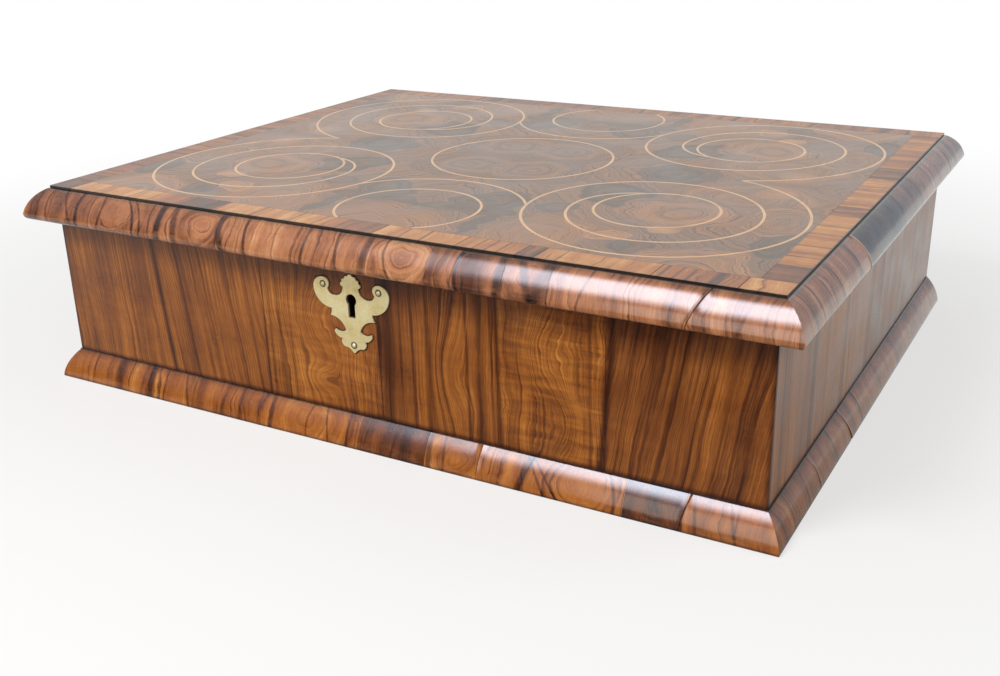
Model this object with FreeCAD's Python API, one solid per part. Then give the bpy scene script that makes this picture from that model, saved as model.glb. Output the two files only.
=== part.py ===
import FreeCAD, Part
import math
import os

Vector = FreeCAD.Vector

# A low veneered box with a hinged lid. Millimetres, Z up, front towards -Y.
# The origin is on the resting plane, under the middle of the lid.

# Overall form
lid_top_width = 531.0
lid_top_depth = 428.4
joint_height = 122.0
lid_thickness = 23.2
case_setback = 2.8

# Shared clearances
cut_overrun = 1.0
block_gap = 0.12
line_clearance = 0.1
pin_clearance = 0.05
slide_clearance = 0.15

# Case boards and veneer
board_thickness = 16.0
bottom_thickness = 9.0
veneer_thickness = 2.0
dovetail_count = 4
dovetail_tip_share = 0.62
dovetail_root_share = 0.44
bottom_seam_share = 0.08

# Seams between the veneer leaves, at the top and at the bottom, as shares of the half face
front_seam_shares = ((-0.673, -0.632), (-0.308, -0.306), (0.040, 0.041), (0.364, 0.363), (0.630, 0.632))
right_seam_shares = ((-0.52, -0.51), (-0.03, -0.03), (0.47, 0.48))
left_seam_shares = ((-0.44, -0.45), (0.06, 0.05), (0.55, 0.55))

# Lid moulding
lid_projection = 14.7
lid_moulding_drop = 1.8
lid_fillet_width = 0.8
lid_round_radius = 4.0
lid_blend_angle = 15.0
lid_core_width = 7.0
lid_core_height = 12.5

# Base moulding
base_projection = 11.0
base_height = 20.2
base_fillet_width = 0.8
base_fillet_drop = 0.7
base_foot_height = 1.5
base_bulge = 1.6
base_core_width = 3.4
base_core_height = 11.0

# Joints between the cross-grain blocks, as shares of the run's half length from its middle
lid_front_joint_shares = (
    -0.817, -0.55, -0.36, -0.282, -0.114, -0.025, 0.057, 0.207, 0.271, 0.385, 0.489, 0.789,
)
lid_right_joint_shares = (-0.66, -0.585, -0.398, 0.044, 0.27, 0.743)
lid_back_joint_shares = (-0.78, -0.45, -0.31, -0.06, 0.12, 0.34, 0.44, 0.77)
lid_left_joint_shares = (-0.71, -0.43, -0.2, 0.11, 0.36, 0.68)
base_front_joint_shares = (-0.687, -0.533, -0.318, -0.022, 0.172, 0.31, 0.431, 0.661, 0.796)
base_right_joint_shares = (-0.626, -0.311, -0.169, 0.296, 0.717)
base_left_joint_shares = (-0.64, -0.37, 0.02, 0.29, 0.61)
band_front_joint_shares = (
    -0.925, -0.648, -0.554, -0.433, -0.128, -0.06, 0.045, 0.264, 0.414, 0.456, 0.723, 0.904,
)
band_back_joint_shares = (-0.9, -0.61, -0.37, -0.17, 0.09, 0.3, 0.58, 0.91)
band_right_joint_shares = (-0.86, -0.309, -0.19, 0.211, 0.386, 0.716, 0.94)
band_left_joint_shares = (-0.9, -0.55, -0.21, 0.14, 0.42, 0.87)

# Lid planks, field and stringing
plank_seam_shares = (-0.36, 0.31)
band_width = 20.0
field_column_shares = (-0.6, 0.0, 0.6)
field_row_shares = (0.0,)
string_width = 1.3
string_depth = 1.2
string_end_margin = 3.2
string_side_margin = 5.2
scroll_start_angle = 118.0
scroll_depth_share = 0.4583
scroll_width_share = 0.363
scroll_first_share = 0.6854
scroll_cusp_share = 0.199
small_ring_shares = (-0.0787, -0.073)
small_ring_radius_share = 0.4494
bay_share = 0.8033
bay_radius_share = 0.64
link_bite = 1.8
middle_ring_share = 0.85

# Key plate, drawn from the keyhole's round end
key_offset = -7.7
key_drop = 23.3
keyhole_radius = 4.0
keyhole_slot_width = 5.3
keyhole_drop = 11.8
plate_thickness = 1.2
plate_half_width = 28.8
plate_rise = 16.8
plate_fall = 35.7
plate_pin_head_radius = 1.7
plate_pin_head_height = 0.8
plate_pin_radius = 0.7
plate_pin_length = 6.0
plate_pin_shares = ((-0.735, 0.476), (0.735, 0.476), (0.0, -0.85))
# Right half of the outline from crown to foot, in half widths across and in rises or falls up and down.
# A step of two points is an arc through the first to the second.
plate_outline_shares = (
    (0.0, 1.0),
    ((0.045, 0.982), (0.07, 0.905)),
    ((0.128, 0.905), (0.15, 0.8)),
    ((0.208, 0.79), (0.208, 0.68)),
    ((0.257, 0.63), (0.2, 0.506)),
    ((0.255, 0.232), (0.445, 0.095)),
    ((0.566, 0.155), (0.625, 0.34)),
    ((0.583, 0.54), (0.667, 0.726)),
    ((0.868, 0.7), (1.0, 0.34)),
    ((0.889, -0.076), (0.542, -0.205)),
    ((0.549, -0.277), (0.59, -0.345)),
    ((0.319, -0.417), (0.19, -0.574)),
    ((0.323, -0.627), (0.472, -0.591)),
    ((0.5, -0.63), (0.472, -0.68)),
    ((0.396, -0.731), (0.299, -0.745)),
    ((0.326, -0.82), (0.208, -0.899)),
    ((0.1, -0.93), (0.049, -0.966)),
    (0.0, -1.0),
)

# Lock, let into the front board from inside
lock_front_wall = 3.5
lock_half_width = 38.0
lock_flange = 10.0
lock_depth = 24.0
lock_sheet = 1.5
bolt_length = 44.0
bolt_height = 6.0
bolt_thickness = 4.4
bolt_lift = 7.3
bolt_end_gap = 0.8
talon_half_width = 5.0
talon_height = 3.0
keep_width = 5.0
keep_wall = 1.5
keep_shares = (0.14, 0.62)
spring_thickness = 0.8
spring_gap = 0.3
spring_rise = 4.0
spring_share = 0.38
spring_half_width = 6.5
ward_radius = 6.6
ward_thickness = 1.2
ward_depth = 3.0
ward_half_angle = 30.0

# Link plate and staple under the lid
staple_offset = 16.0
staple_thickness = 4.0
staple_leg = 1.5
staple_eye_width = 5.0
staple_length = 20.0
staple_foot = 2.0
staple_eye_height = 12.0
staple_clearance = 0.9
link_half_width = 20.0
link_half_depth = 7.0
link_sheet = 2.0

# Hinges
hinge_share = 0.565
hinge_rise = 0.3
hinge_gap = 0.3
barrel_length = 36.0
leaf_thickness = 2.0
leaf_flare = 9.0
lower_leaf_length = 50.0
upper_leaf_length = 66.0
hinge_pin_radius = 1.6
notch_clearance = 0.4

# Hand-made nails
nail_head = 5.0
nail_head_depth = 1.4
nail_shank = 2.2
leaf_nail_length = 11.0
lock_nail_length = 8.0
bottom_nail_length = 26.0
leaf_nail_shares = ((0.0, 0.3), (-0.72, 0.82), (0.72, 0.82))
link_nail_share = 0.75
bottom_nail_shares = (-0.82, -0.3, 0.3, 0.82)
side_nail_shares = (-0.45, 0.45)

# Places worked out from the sizes above
lid_half_width = lid_top_width / 2
lid_half_depth = lid_top_depth / 2
case_half_width = lid_half_width - case_setback
case_front = case_setback - lid_half_depth
case_back = lid_half_depth + lid_projection
board_half_width = case_half_width - veneer_thickness
board_front = case_front + veneer_thickness
inner_half_width = board_half_width - board_thickness
inner_front = board_front + board_thickness
inner_back = case_back - board_thickness
board_span = (bottom_thickness, joint_height)
total_height = joint_height + lid_thickness
lid_bed = total_height - veneer_thickness
field_half_width = lid_half_width - band_width
field_half_depth = lid_half_depth - band_width

scroll_last_radius = min(scroll_depth_share * field_half_depth, scroll_width_share * field_half_width)
scroll_first_radius = scroll_first_share * scroll_last_radius
scroll_step = (scroll_last_radius - scroll_first_radius) / 2
scroll_eye_x = field_half_width - scroll_last_radius - string_end_margin
scroll_eye_y = field_half_depth - scroll_last_radius - string_side_margin
scroll_cusp_x = scroll_eye_x + scroll_cusp_share * scroll_last_radius
small_ring_x = scroll_eye_x + small_ring_shares[0] * scroll_last_radius
small_ring_y = scroll_eye_y + small_ring_shares[1] * scroll_last_radius
small_ring_radius = small_ring_radius_share * scroll_last_radius
bay_y = bay_share * field_half_depth
bay_clear = math.hypot(scroll_eye_x, scroll_eye_y - bay_y) - scroll_last_radius
bay_radius = bay_radius_share * bay_clear
link_radius = bay_clear + link_bite
middle_clear = min(bay_y - link_radius, math.hypot(scroll_eye_x, scroll_eye_y) - scroll_last_radius)
middle_ring_radius = middle_ring_share * middle_clear

key_height = joint_height - key_drop
plate_front = case_front - plate_thickness
pocket_front = board_front + lock_front_wall
lock_sheet_front = inner_front - lock_sheet
lock_bottom = key_height - lock_depth
lock_span = (key_offset - lock_half_width - lock_flange, key_offset + lock_half_width + lock_flange)
staple_x = key_offset + staple_offset
staple_y = (pocket_front + lock_sheet_front) / 2
bolt_bottom = key_height + bolt_lift
bolt_top = bolt_bottom + bolt_height
bolt_tip = staple_x - staple_thickness / 2 - bolt_end_gap
bolt_tail = bolt_tip - bolt_length
bolt_half_thickness = bolt_thickness / 2

hinge_y = case_back - lid_round_radius
hinge_z = joint_height + lid_round_radius + hinge_rise
barrel_radius = lid_round_radius - hinge_gap
lower_seat = hinge_z - joint_height
notch_radius = math.hypot(barrel_radius, lower_seat) + notch_clearance
upper_seat = notch_radius
hinge_places = (-hinge_share * lid_half_width, hinge_share * lid_half_width)

origin = Vector(0, 0, 0)
along_x = Vector(1, 0, 0)
along_y = Vector(0, 1, 0)
along_z = Vector(0, 0, 1)
side_angles = {"front": 0, "right": 90, "back": 180, "left": -90}


def box(x_range, y_range, z_range):
    corner = Vector(x_range[0], y_range[0], z_range[0])
    size = [high - low for low, high in (x_range, y_range, z_range)]
    return Part.makeBox(*size, corner)


def centred(middle, half):
    return (middle - half, middle + half)


def cylinder(radius, start, end):
    return Part.makeCylinder(radius, (end - start).Length, start, end - start)


def face_from(steps, place):
    """Closed face. A step is a point, or two points for an arc through the first to the second."""
    start = place(*steps[0])
    here = start
    edges = []
    for step in steps[1:]:
        if isinstance(step[0], tuple):
            end = place(*step[1])
            edges.append(Part.Arc(here, place(*step[0]), end).toShape())
        else:
            end = place(*step)
            edges.append(Part.LineSegment(here, end).toShape())
        here = end
    edges.append(Part.LineSegment(here, start).toShape())
    return Part.Face(Part.Wire(edges))


def group(shapes):
    return Part.makeCompound([solid for shape in shapes for solid in shape.Solids])


def cut(shape, tools):
    return group([shape.cut(Part.makeCompound(tools))])


def turned(shape, side):
    copy = shape.copy()
    copy.rotate(origin, along_z, side_angles[side])
    return copy


def nail(length, place, direction):
    """Square hand-made nail, its flat head at the place and its shank along the direction."""
    def square(side, z):
        low, high = centred(0, side / 2)
        corners = [(low, low), (high, low), (high, high), (low, high), (low, low)]
        return Part.makePolygon([Vector(x, y, z) for x, y in corners])

    head = Part.makeLoft([square(nail_head, 0), square(nail_shank, nail_head_depth)], True, True)
    middle = centred(0, nail_shank / 2)
    body = head.fuse(box(middle, middle, (nail_head_depth, length))).removeSplitter()
    body.Placement = FreeCAD.Placement(place, FreeCAD.Rotation(along_z, direction))
    return body


# Mouldings and bands: a profile run along one side, worked out at the front and turned to its side

def lid_profile():
    top = total_height - lid_moulding_drop
    core_top = joint_height + lid_core_height
    blend = math.radians(lid_blend_angle)
    lean = (math.cos(blend), math.sin(blend))
    round_middle = (lid_projection - lid_round_radius, joint_height + lid_round_radius)

    def on_circle(middle, radius, angle):
        return (middle[0] + radius * math.cos(angle), middle[1] + radius * math.sin(angle))

    shoulder = (lid_fillet_width, top)
    cheek = on_circle(round_middle, lid_round_radius, blend)
    reach = (shoulder[0] - cheek[0], shoulder[1] - cheek[1])
    swell_radius = -(reach[0] ** 2 + reach[1] ** 2) / (2 * (reach[0] * lean[0] + reach[1] * lean[1]))
    swell_middle = on_circle(cheek, -swell_radius, blend)
    shoulder_angle = math.atan2(shoulder[1] - swell_middle[1], shoulder[0] - swell_middle[0])
    swell = on_circle(swell_middle, swell_radius, (shoulder_angle + blend) / 2)
    under = on_circle(round_middle, lid_round_radius, (blend - math.pi / 2) / 2)
    return (
        (0, core_top), (0, top), shoulder, (swell, cheek), (under, (round_middle[0], joint_height)),
        (lid_core_width, joint_height), (lid_core_width, core_top),
    )


def base_profile():
    shoulder = (base_fillet_width, base_height - base_fillet_drop)
    foot = (base_projection, base_foot_height)
    chord = (foot[0] - shoulder[0], foot[1] - shoulder[1])
    length = math.hypot(*chord)
    swell = (
        (shoulder[0] + foot[0]) / 2 - base_bulge * chord[1] / length,
        (shoulder[1] + foot[1]) / 2 + base_bulge * chord[0] / length,
    )
    return (
        (0, base_core_height), (0, base_height), (base_fillet_width, base_height), shoulder,
        (swell, foot), (base_projection, 0), (base_core_width, 0), (base_core_width, base_core_height),
    )


def rectangle(u_range, v_range):
    return tuple((u, v) for u, v in zip(u_range + u_range[::-1], (v_range[0],) * 2 + (v_range[1],) * 2))


def run(profile, side, edge, ends, reaches, joint_shares):
    """Blocks of a profile along a side, mitred at each end by its reach."""
    low, high = ends[0] - reaches[0], ends[1] + reaches[1]
    middle, half = (low + high) / 2, (high - low) / 2
    joints = [middle + share * half for share in joint_shares]
    starts = [low] + [joint + block_gap / 2 for joint in joints]
    stops = [joint - block_gap / 2 for joint in joints] + [high]
    face = face_from(profile, lambda p, z: Vector(0, -edge - p, z))
    blocks = []
    for start, stop in zip(starts, stops):
        block = face.extrude(Vector(stop - start, 0, 0))
        block.translate(Vector(start, 0, 0))
        blocks.append(block)
    reach = max(reaches)
    if reach > 0:
        plan = ((ends[0], -edge), (ends[1], -edge), (high, -edge - reach), (low, -edge - reach))
        mitre = face_from(plan, lambda x, y: Vector(x, y, 0)).extrude(Vector(0, 0, total_height))
        blocks = [block.common(mitre) for block in blocks]
    return turned(group(blocks), side)


# Case

def tails(x_range, root_y, tip_y):
    pitch = (joint_height - bottom_thickness) / dovetail_count
    shapes = []
    for index in range(dovetail_count):
        middle = bottom_thickness + (index + 1 / 2) * pitch
        root = centred(middle, pitch * dovetail_root_share / 2)
        tip = centred(middle, pitch * dovetail_tip_share / 2)
        outline = ((root_y, root[0]), (tip_y, tip[0]), (tip_y, tip[1]), (root_y, root[1]))
        face = face_from(outline, lambda y, z: Vector(x_range[0], y, z))
        shapes.append(face.extrude(Vector(x_range[1] - x_range[0], 0, 0)))
    return shapes


def keyhole(y_range):
    slot = keyhole_slot_width / 2
    neck = -math.sqrt(keyhole_radius ** 2 - slot ** 2)
    outline = (
        (-slot, -keyhole_drop), (-slot, neck), ((0, keyhole_radius), (slot, neck)), (slot, -keyhole_drop),
    )
    face = face_from(outline, lambda u, v: Vector(key_offset + u, y_range[0], key_height + v))
    return face.extrude(Vector(0, y_range[1] - y_range[0], 0))


def plate_place(u, v):
    height = plate_rise if v > 0 else plate_fall
    return Vector(key_offset + u * plate_half_width, plate_front, key_height + v * height)


def plate_pin_cylinders(radius, length):
    starts = [plate_place(*share) for share in plate_pin_shares]
    return [cylinder(radius, start, start + along_y * length) for start in starts]


def make_key_plate():
    half = face_from(plate_outline_shares, plate_place).extrude(Vector(0, plate_thickness, 0))
    whole = half.fuse(half.mirror(Vector(key_offset, 0, 0), along_x)).removeSplitter()
    holes = plate_pin_cylinders(plate_pin_radius + pin_clearance, plate_thickness)
    return cut(whole, holes + [keyhole((plate_front, case_front))])


def make_plate_pins():
    dome_radius = (plate_pin_head_radius ** 2 + plate_pin_head_height ** 2) / (2 * plate_pin_head_height)
    dome_middle = dome_radius - plate_pin_head_height
    half_angle = math.asin(plate_pin_head_radius / dome_radius) / 2
    swell = (dome_radius * math.sin(half_angle), dome_middle - dome_radius * math.cos(half_angle))
    profile = (
        (0, -plate_pin_head_height), (swell, (plate_pin_head_radius, 0)),
        (plate_pin_radius, 0), (plate_pin_radius, plate_pin_length), (0, plate_pin_length),
    )
    pins = []
    for share in plate_pin_shares:
        start = plate_place(*share)
        face = face_from(profile, lambda across, along: start + Vector(across, along, 0))
        pins.append(face.revolve(start, along_y, 360))
    return group(pins)


def bottom_nail_places():
    front_line = board_front + board_thickness / 2
    back_line = case_back - board_thickness / 2
    side_line = inner_half_width + board_thickness / 2
    middle, half = (inner_front + inner_back) / 2, (inner_back - inner_front) / 2
    places = []
    for y in (front_line, back_line):
        places += [Vector(share * inner_half_width, y, 0) for share in bottom_nail_shares]
    for x in (-side_line, side_line):
        places += [Vector(x, middle + share * half, 0) for share in side_nail_shares]
    return places


def lock_nail_places():
    outer = lock_half_width + lock_flange / 2
    heights = (lock_bottom + lock_flange / 2, joint_height - lock_flange)
    return [Vector(key_offset + sign * outer, inner_front, z) for sign in (-1, 1) for z in heights]


def make_boards(bottom_nails, lock_nails, lower_leaf_nails):
    left_span = (-board_half_width, -inner_half_width)
    right_span = (inner_half_width, board_half_width)
    full_span = (-board_half_width, board_half_width)
    front_tails = []
    back_tails = []
    for span in (left_span, right_span):
        front_tails += tails(span, inner_front, board_front)
        back_tails += tails(span, inner_back, case_back)
    over_top = joint_height + cut_overrun
    over_inside = inner_front + cut_overrun
    pocket_span = centred(key_offset, lock_half_width)
    lock_cuts = [
        box(pocket_span, (pocket_front, over_inside), (lock_bottom + lock_flange, over_top)),
        box(lock_span, (lock_sheet_front, over_inside), (lock_bottom, over_top)),
        box(lock_span, (pocket_front, over_inside), (joint_height - lock_sheet, over_top)),
        keyhole((board_front - cut_overrun, pocket_front + cut_overrun)),
    ]
    pin_holes = plate_pin_cylinders(plate_pin_radius + pin_clearance, plate_pin_length)
    leaf_recesses = [lower_recess(x) for x in hinge_places]
    front = box(full_span, (board_front, inner_front), board_span)
    back = box(full_span, (inner_back, case_back), board_span)
    boards = {
        "front_board": cut(front, front_tails + lock_cuts + pin_holes + bottom_nails + lock_nails),
        "back_board": cut(back, back_tails + leaf_recesses + bottom_nails + lower_leaf_nails),
    }
    for name, span in (("left_board", left_span), ("right_board", right_span)):
        side = box(span, (inner_front, inner_back), board_span)
        ends = tails(span, inner_front, board_front) + tails(span, inner_back, case_back)
        boards[name] = cut(side.fuse(ends).removeSplitter(), bottom_nails)
    seam = bottom_seam_share * lid_half_depth
    bottom_spans = {"bottom_front_board": (case_front, seam), "bottom_rear_board": (seam, case_back)}
    for name, span in bottom_spans.items():
        bottom = box((-case_half_width, case_half_width), span, (0, bottom_thickness))
        boards[name] = cut(bottom, bottom_nails)
    return boards


def veneer_leaves(low, high, seam_shares, place, thickness):
    middle, half = (low + high) / 2, (high - low) / 2
    seams = [tuple(middle + share * half for share in pair) for pair in seam_shares]
    seams = [(low, low)] + seams + [(high, high)]
    leaves = []
    for (top_start, bottom_start), (top_stop, bottom_stop) in zip(seams, seams[1:]):
        outline = (
            (bottom_start, bottom_thickness), (bottom_stop, bottom_thickness),
            (top_stop, joint_height), (top_start, joint_height),
        )
        leaves.append(face_from(outline, place).extrude(thickness))
    return group(leaves)


def make_veneers():
    front = veneer_leaves(
        -case_half_width, case_half_width, front_seam_shares,
        lambda x, z: Vector(x, case_front, z), along_y * veneer_thickness,
    )
    holes = plate_pin_cylinders(plate_pin_radius + pin_clearance, plate_pin_length)
    keyway = keyhole((plate_front, board_front + cut_overrun))
    right = veneer_leaves(
        board_front, case_back, right_seam_shares,
        lambda y, z: Vector(board_half_width, y, z), along_x * veneer_thickness,
    )
    left = veneer_leaves(
        board_front, case_back, left_seam_shares,
        lambda y, z: Vector(-case_half_width, y, z), along_x * veneer_thickness,
    )
    return {"front_veneer": cut(front, holes + [keyway]), "right_veneer": right, "left_veneer": left}


def make_base_mouldings():
    core = rectangle((0, base_core_width), (0, base_core_height))
    runs = {
        "front": (-case_front, (-case_half_width, case_half_width), (1, 1), base_front_joint_shares),
        "right": (case_half_width, (case_front, case_back), (1, 0), base_right_joint_shares),
        "left": (case_half_width, (-case_back, -case_front), (0, 1), base_left_joint_shares),
    }
    nodes = {}
    for side, (edge, ends, mitred, joint_shares) in runs.items():
        facing_reaches = [flag * base_projection for flag in mitred]
        core_reaches = [flag * base_core_width for flag in mitred]
        facing = run(base_profile(), side, edge, ends, facing_reaches, joint_shares)
        nodes["base_moulding_" + side] = facing
        nodes["base_core_" + side] = run(core, side, edge, ends, core_reaches, ())
    return nodes


# Lock

def make_lock_plate(nails):
    sheet = box(lock_span, (lock_sheet_front, inner_front), (lock_bottom, joint_height))
    flange = box(lock_span, (pocket_front, inner_front), (joint_height - lock_sheet, joint_height))
    slot = box(
        centred(staple_x, staple_thickness / 2 + staple_clearance),
        centred(staple_y, staple_eye_width / 2 + staple_leg + staple_clearance),
        (joint_height - lock_sheet - cut_overrun, joint_height + cut_overrun),
    )
    return cut(sheet.fuse(flange).removeSplitter(), nails + [slot])


def make_bolt():
    bar = box((bolt_tail, bolt_tip), centred(staple_y, bolt_half_thickness), (bolt_bottom, bolt_top))
    talon = box(
        centred(key_offset, talon_half_width),
        centred(staple_y, bolt_thickness),
        (bolt_bottom - cut_overrun, bolt_bottom + talon_height),
    )
    return cut(bar, [talon])


def make_bolt_keeps():
    keeps = []
    for share in keep_shares:
        x_range = centred(bolt_tip - share * bolt_length, keep_width / 2)
        around = slide_clearance + keep_wall
        outside = box(
            x_range,
            (staple_y - bolt_half_thickness - around, lock_sheet_front),
            (bolt_bottom - around, bolt_top + around),
        )
        channel = box(
            (x_range[0] - cut_overrun, x_range[1] + cut_overrun),
            centred(staple_y, bolt_half_thickness + slide_clearance),
            (bolt_bottom - slide_clearance, bolt_top + slide_clearance),
        )
        keeps.append(outside.cut(channel))
    return group(keeps)


def make_bolt_spring():
    middle = bolt_tip - spring_share * bolt_length
    start, stop = centred(middle, spring_half_width)
    low = bolt_top + spring_gap
    high = low + spring_rise
    upper_low, upper_high = low + spring_thickness, high + spring_thickness
    outline = (
        (start, high), ((middle, low), (stop, high)),
        (stop, upper_high), ((middle, upper_low), (start, upper_high)),
    )
    front = staple_y - bolt_half_thickness
    face = face_from(outline, lambda x, z: Vector(x, front, z))
    return face.extrude(Vector(0, lock_sheet_front - front, 0))


def make_lock_wards():
    def place(u, v):
        return Vector(key_offset + u, lock_sheet_front, key_height + v)

    wards = []
    for facing in (0, 180):
        arcs = [((0, 0), ward_radius, facing - ward_half_angle, facing + ward_half_angle)]
        face = strip_face(arcs, ward_thickness / 2, place)
        wards.append(face.extrude(Vector(0, -ward_depth, 0)))
    return group(wards)


def link_nail_places():
    reach = link_nail_share * link_half_width
    return [Vector(x, staple_y, joint_height) for x in centred(staple_x, reach)]


def link_box(z_range):
    return box(centred(staple_x, link_half_width), centred(staple_y, link_half_depth), z_range)


def make_link_plate(nails):
    """Link plate let in under the lid, and the staple whose tang is riveted through it."""
    sheet = link_box((joint_height, joint_height + link_sheet))
    x_range = centred(staple_x, staple_thickness / 2)
    eye_range = centred(staple_y, staple_eye_width / 2)
    bottom = joint_height - staple_length
    loop = box(x_range, centred(staple_y, staple_eye_width / 2 + staple_leg), (bottom, joint_height))
    tang = box(x_range, eye_range, (joint_height, joint_height + link_sheet))
    eye_bottom = bottom + staple_foot
    eye = box(x_range, eye_range, (eye_bottom, eye_bottom + staple_eye_height))
    staple = loop.cut(eye).fuse(tang).removeSplitter()
    return {"link_plate": cut(sheet, nails + [tang]), "staple": group([staple])}


# Hinges

def leaf_outline(length, seat, start):
    half = barrel_length / 2
    wide = half + leaf_flare
    end = seat + length
    outline = [(-half, start), (half, start)]
    if start < seat:
        outline.append((half, seat))
    outline += [(wide, end), (-wide, end)]
    if start < seat:
        outline.append((-half, seat))
    return outline


def lower_place(x, y):
    return lambda u, a: Vector(x + u, y, hinge_z - a)


def upper_place(x, z):
    return lambda u, a: Vector(x + u, hinge_y - a, z)


def lower_recess(x):
    bed = hinge_y + barrel_radius - leaf_thickness
    face = face_from(leaf_outline(lower_leaf_length, lower_seat, 0), lower_place(x, bed))
    return face.extrude(Vector(0, case_back + cut_overrun - bed, 0))


def upper_recess(x):
    below = joint_height - cut_overrun
    bed = hinge_z - barrel_radius + leaf_thickness
    face = face_from(leaf_outline(upper_leaf_length, upper_seat, 0), upper_place(x, below))
    return face.extrude(Vector(0, 0, bed - below))


def barrel(x, radius, spare):
    half = barrel_length / 2 + spare
    return cylinder(radius, Vector(x - half, hinge_y, hinge_z), Vector(x + half, hinge_y, hinge_z))


def knuckle(x_range, seat, place):
    inner = barrel_radius - leaf_thickness
    entry = math.sqrt(barrel_radius ** 2 - inner ** 2)
    outline = (
        (seat, barrel_radius), (0, barrel_radius), ((0, -barrel_radius), (entry, inner)), (seat, inner),
    )
    return face_from(outline, place).extrude(Vector(x_range[1] - x_range[0], 0, 0))


def knuckle_spans(x):
    third = barrel_length / 3
    start = x - barrel_length / 2
    spans = [(start + index * third, start + (index + 1) * third) for index in range(3)]
    middle = (spans[1][0] + hinge_gap, spans[1][1] - hinge_gap)
    return [spans[0], spans[2]], [middle]


def leaf_nail_places(length, seat, place):
    places = []
    for across, along in leaf_nail_shares:
        places.append(place(across * (barrel_length / 2 + along * leaf_flare), seat + along * length))
    return places


def lower_nails(x):
    places = leaf_nail_places(lower_leaf_length, lower_seat, lower_place(x, hinge_y + barrel_radius))
    return [nail(leaf_nail_length, place, -along_y) for place in places]


def upper_nails(x):
    places = leaf_nail_places(upper_leaf_length, upper_seat, upper_place(x, hinge_z - barrel_radius))
    return [nail(leaf_nail_length, place, along_z) for place in places]


def make_lower_leaf(x, nails):
    bed = hinge_y + barrel_radius - leaf_thickness
    outline = leaf_outline(lower_leaf_length, lower_seat, lower_seat)
    leaf = face_from(outline, lower_place(x, bed)).extrude(Vector(0, leaf_thickness, 0))
    for span in knuckle_spans(x)[0]:
        place = lambda a, b: Vector(span[0], hinge_y + b, hinge_z - a)
        leaf = leaf.fuse(knuckle(span, lower_seat, place))
    return cut(leaf.removeSplitter(), nails + [barrel(x, hinge_pin_radius + pin_clearance, cut_overrun)])


def make_upper_leaf(x, nails):
    bottom = hinge_z - barrel_radius
    outline = leaf_outline(upper_leaf_length, upper_seat, upper_seat)
    leaf = face_from(outline, upper_place(x, bottom)).extrude(Vector(0, 0, leaf_thickness))
    for span in knuckle_spans(x)[1]:
        place = lambda a, b: Vector(span[0], hinge_y - a, hinge_z - b)
        leaf = leaf.fuse(knuckle(span, upper_seat, place))
    return cut(leaf.removeSplitter(), nails + [barrel(x, hinge_pin_radius + pin_clearance, cut_overrun)])


# Lid

def make_lid_planks(tools):
    seams = [share * lid_half_depth for share in plank_seam_shares]
    rows = [-lid_half_depth] + seams + [lid_half_depth]
    names = ("lid_front_plank", "lid_middle_plank", "lid_rear_plank")
    width = (-lid_half_width, lid_half_width)
    return {
        name: cut(box(width, span, (joint_height, lid_bed)), tools)
        for name, span in zip(names, zip(rows, rows[1:]))
    }


def make_lid_mouldings(hinge_cuts):
    core = rectangle((0, lid_core_width), (joint_height, joint_height + lid_core_height))
    runs = {
        "front": (lid_half_depth, lid_half_width, lid_front_joint_shares),
        "right": (lid_half_width, lid_half_depth, lid_right_joint_shares),
        "back": (lid_half_depth, lid_half_width, lid_back_joint_shares),
        "left": (lid_half_width, lid_half_depth, lid_left_joint_shares),
    }
    nodes = {}
    for side, (edge, half, joint_shares) in runs.items():
        ends = (-half, half)
        facing = run(lid_profile(), side, edge, ends, (lid_projection,) * 2, joint_shares)
        inside = run(core, side, edge, ends, (lid_core_width,) * 2, ())
        if side == "back":
            facing = cut(facing, hinge_cuts)
            inside = cut(inside, hinge_cuts)
        nodes["lid_moulding_" + side] = facing
        nodes["lid_core_" + side] = inside
    return nodes


def make_crossbands():
    band = rectangle((-band_width, 0), (lid_bed, total_height))
    square = (0, 0)
    runs = {
        "front": (lid_half_depth, lid_half_width, band_front_joint_shares),
        "right": (lid_half_width, field_half_depth, band_right_joint_shares),
        "back": (lid_half_depth, lid_half_width, band_back_joint_shares),
        "left": (lid_half_width, field_half_depth, band_left_joint_shares),
    }
    return {
        "crossband_" + side: run(band, side, edge, (-half, half), square, joint_shares)
        for side, (edge, half, joint_shares) in runs.items()
    }


def strip_face(arcs, half_width, place):
    """Band along arcs that follow on from each other; an arc is its middle, radius and two angles."""
    def point(middle, radius, angle):
        turn = math.radians(angle)
        return place(middle[0] + radius * math.cos(turn), middle[1] + radius * math.sin(turn))

    def edge(middle, radius, start, stop):
        angles = (start, (start + stop) / 2, stop)
        return Part.Arc(*[point(middle, radius, angle) for angle in angles]).toShape()

    outer = []
    inner = []
    for middle, radius, start, stop in arcs:
        outer.append(edge(middle, radius + half_width, start, stop))
        inner.insert(0, edge(middle, radius - half_width, stop, start))
    stop_line = Part.LineSegment(outer[-1].Vertexes[-1].Point, inner[0].Vertexes[0].Point).toShape()
    start_line = Part.LineSegment(inner[-1].Vertexes[-1].Point, outer[0].Vertexes[0].Point).toShape()
    return Part.Face(Part.Wire(outer + [stop_line] + inner + [start_line]))


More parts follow.
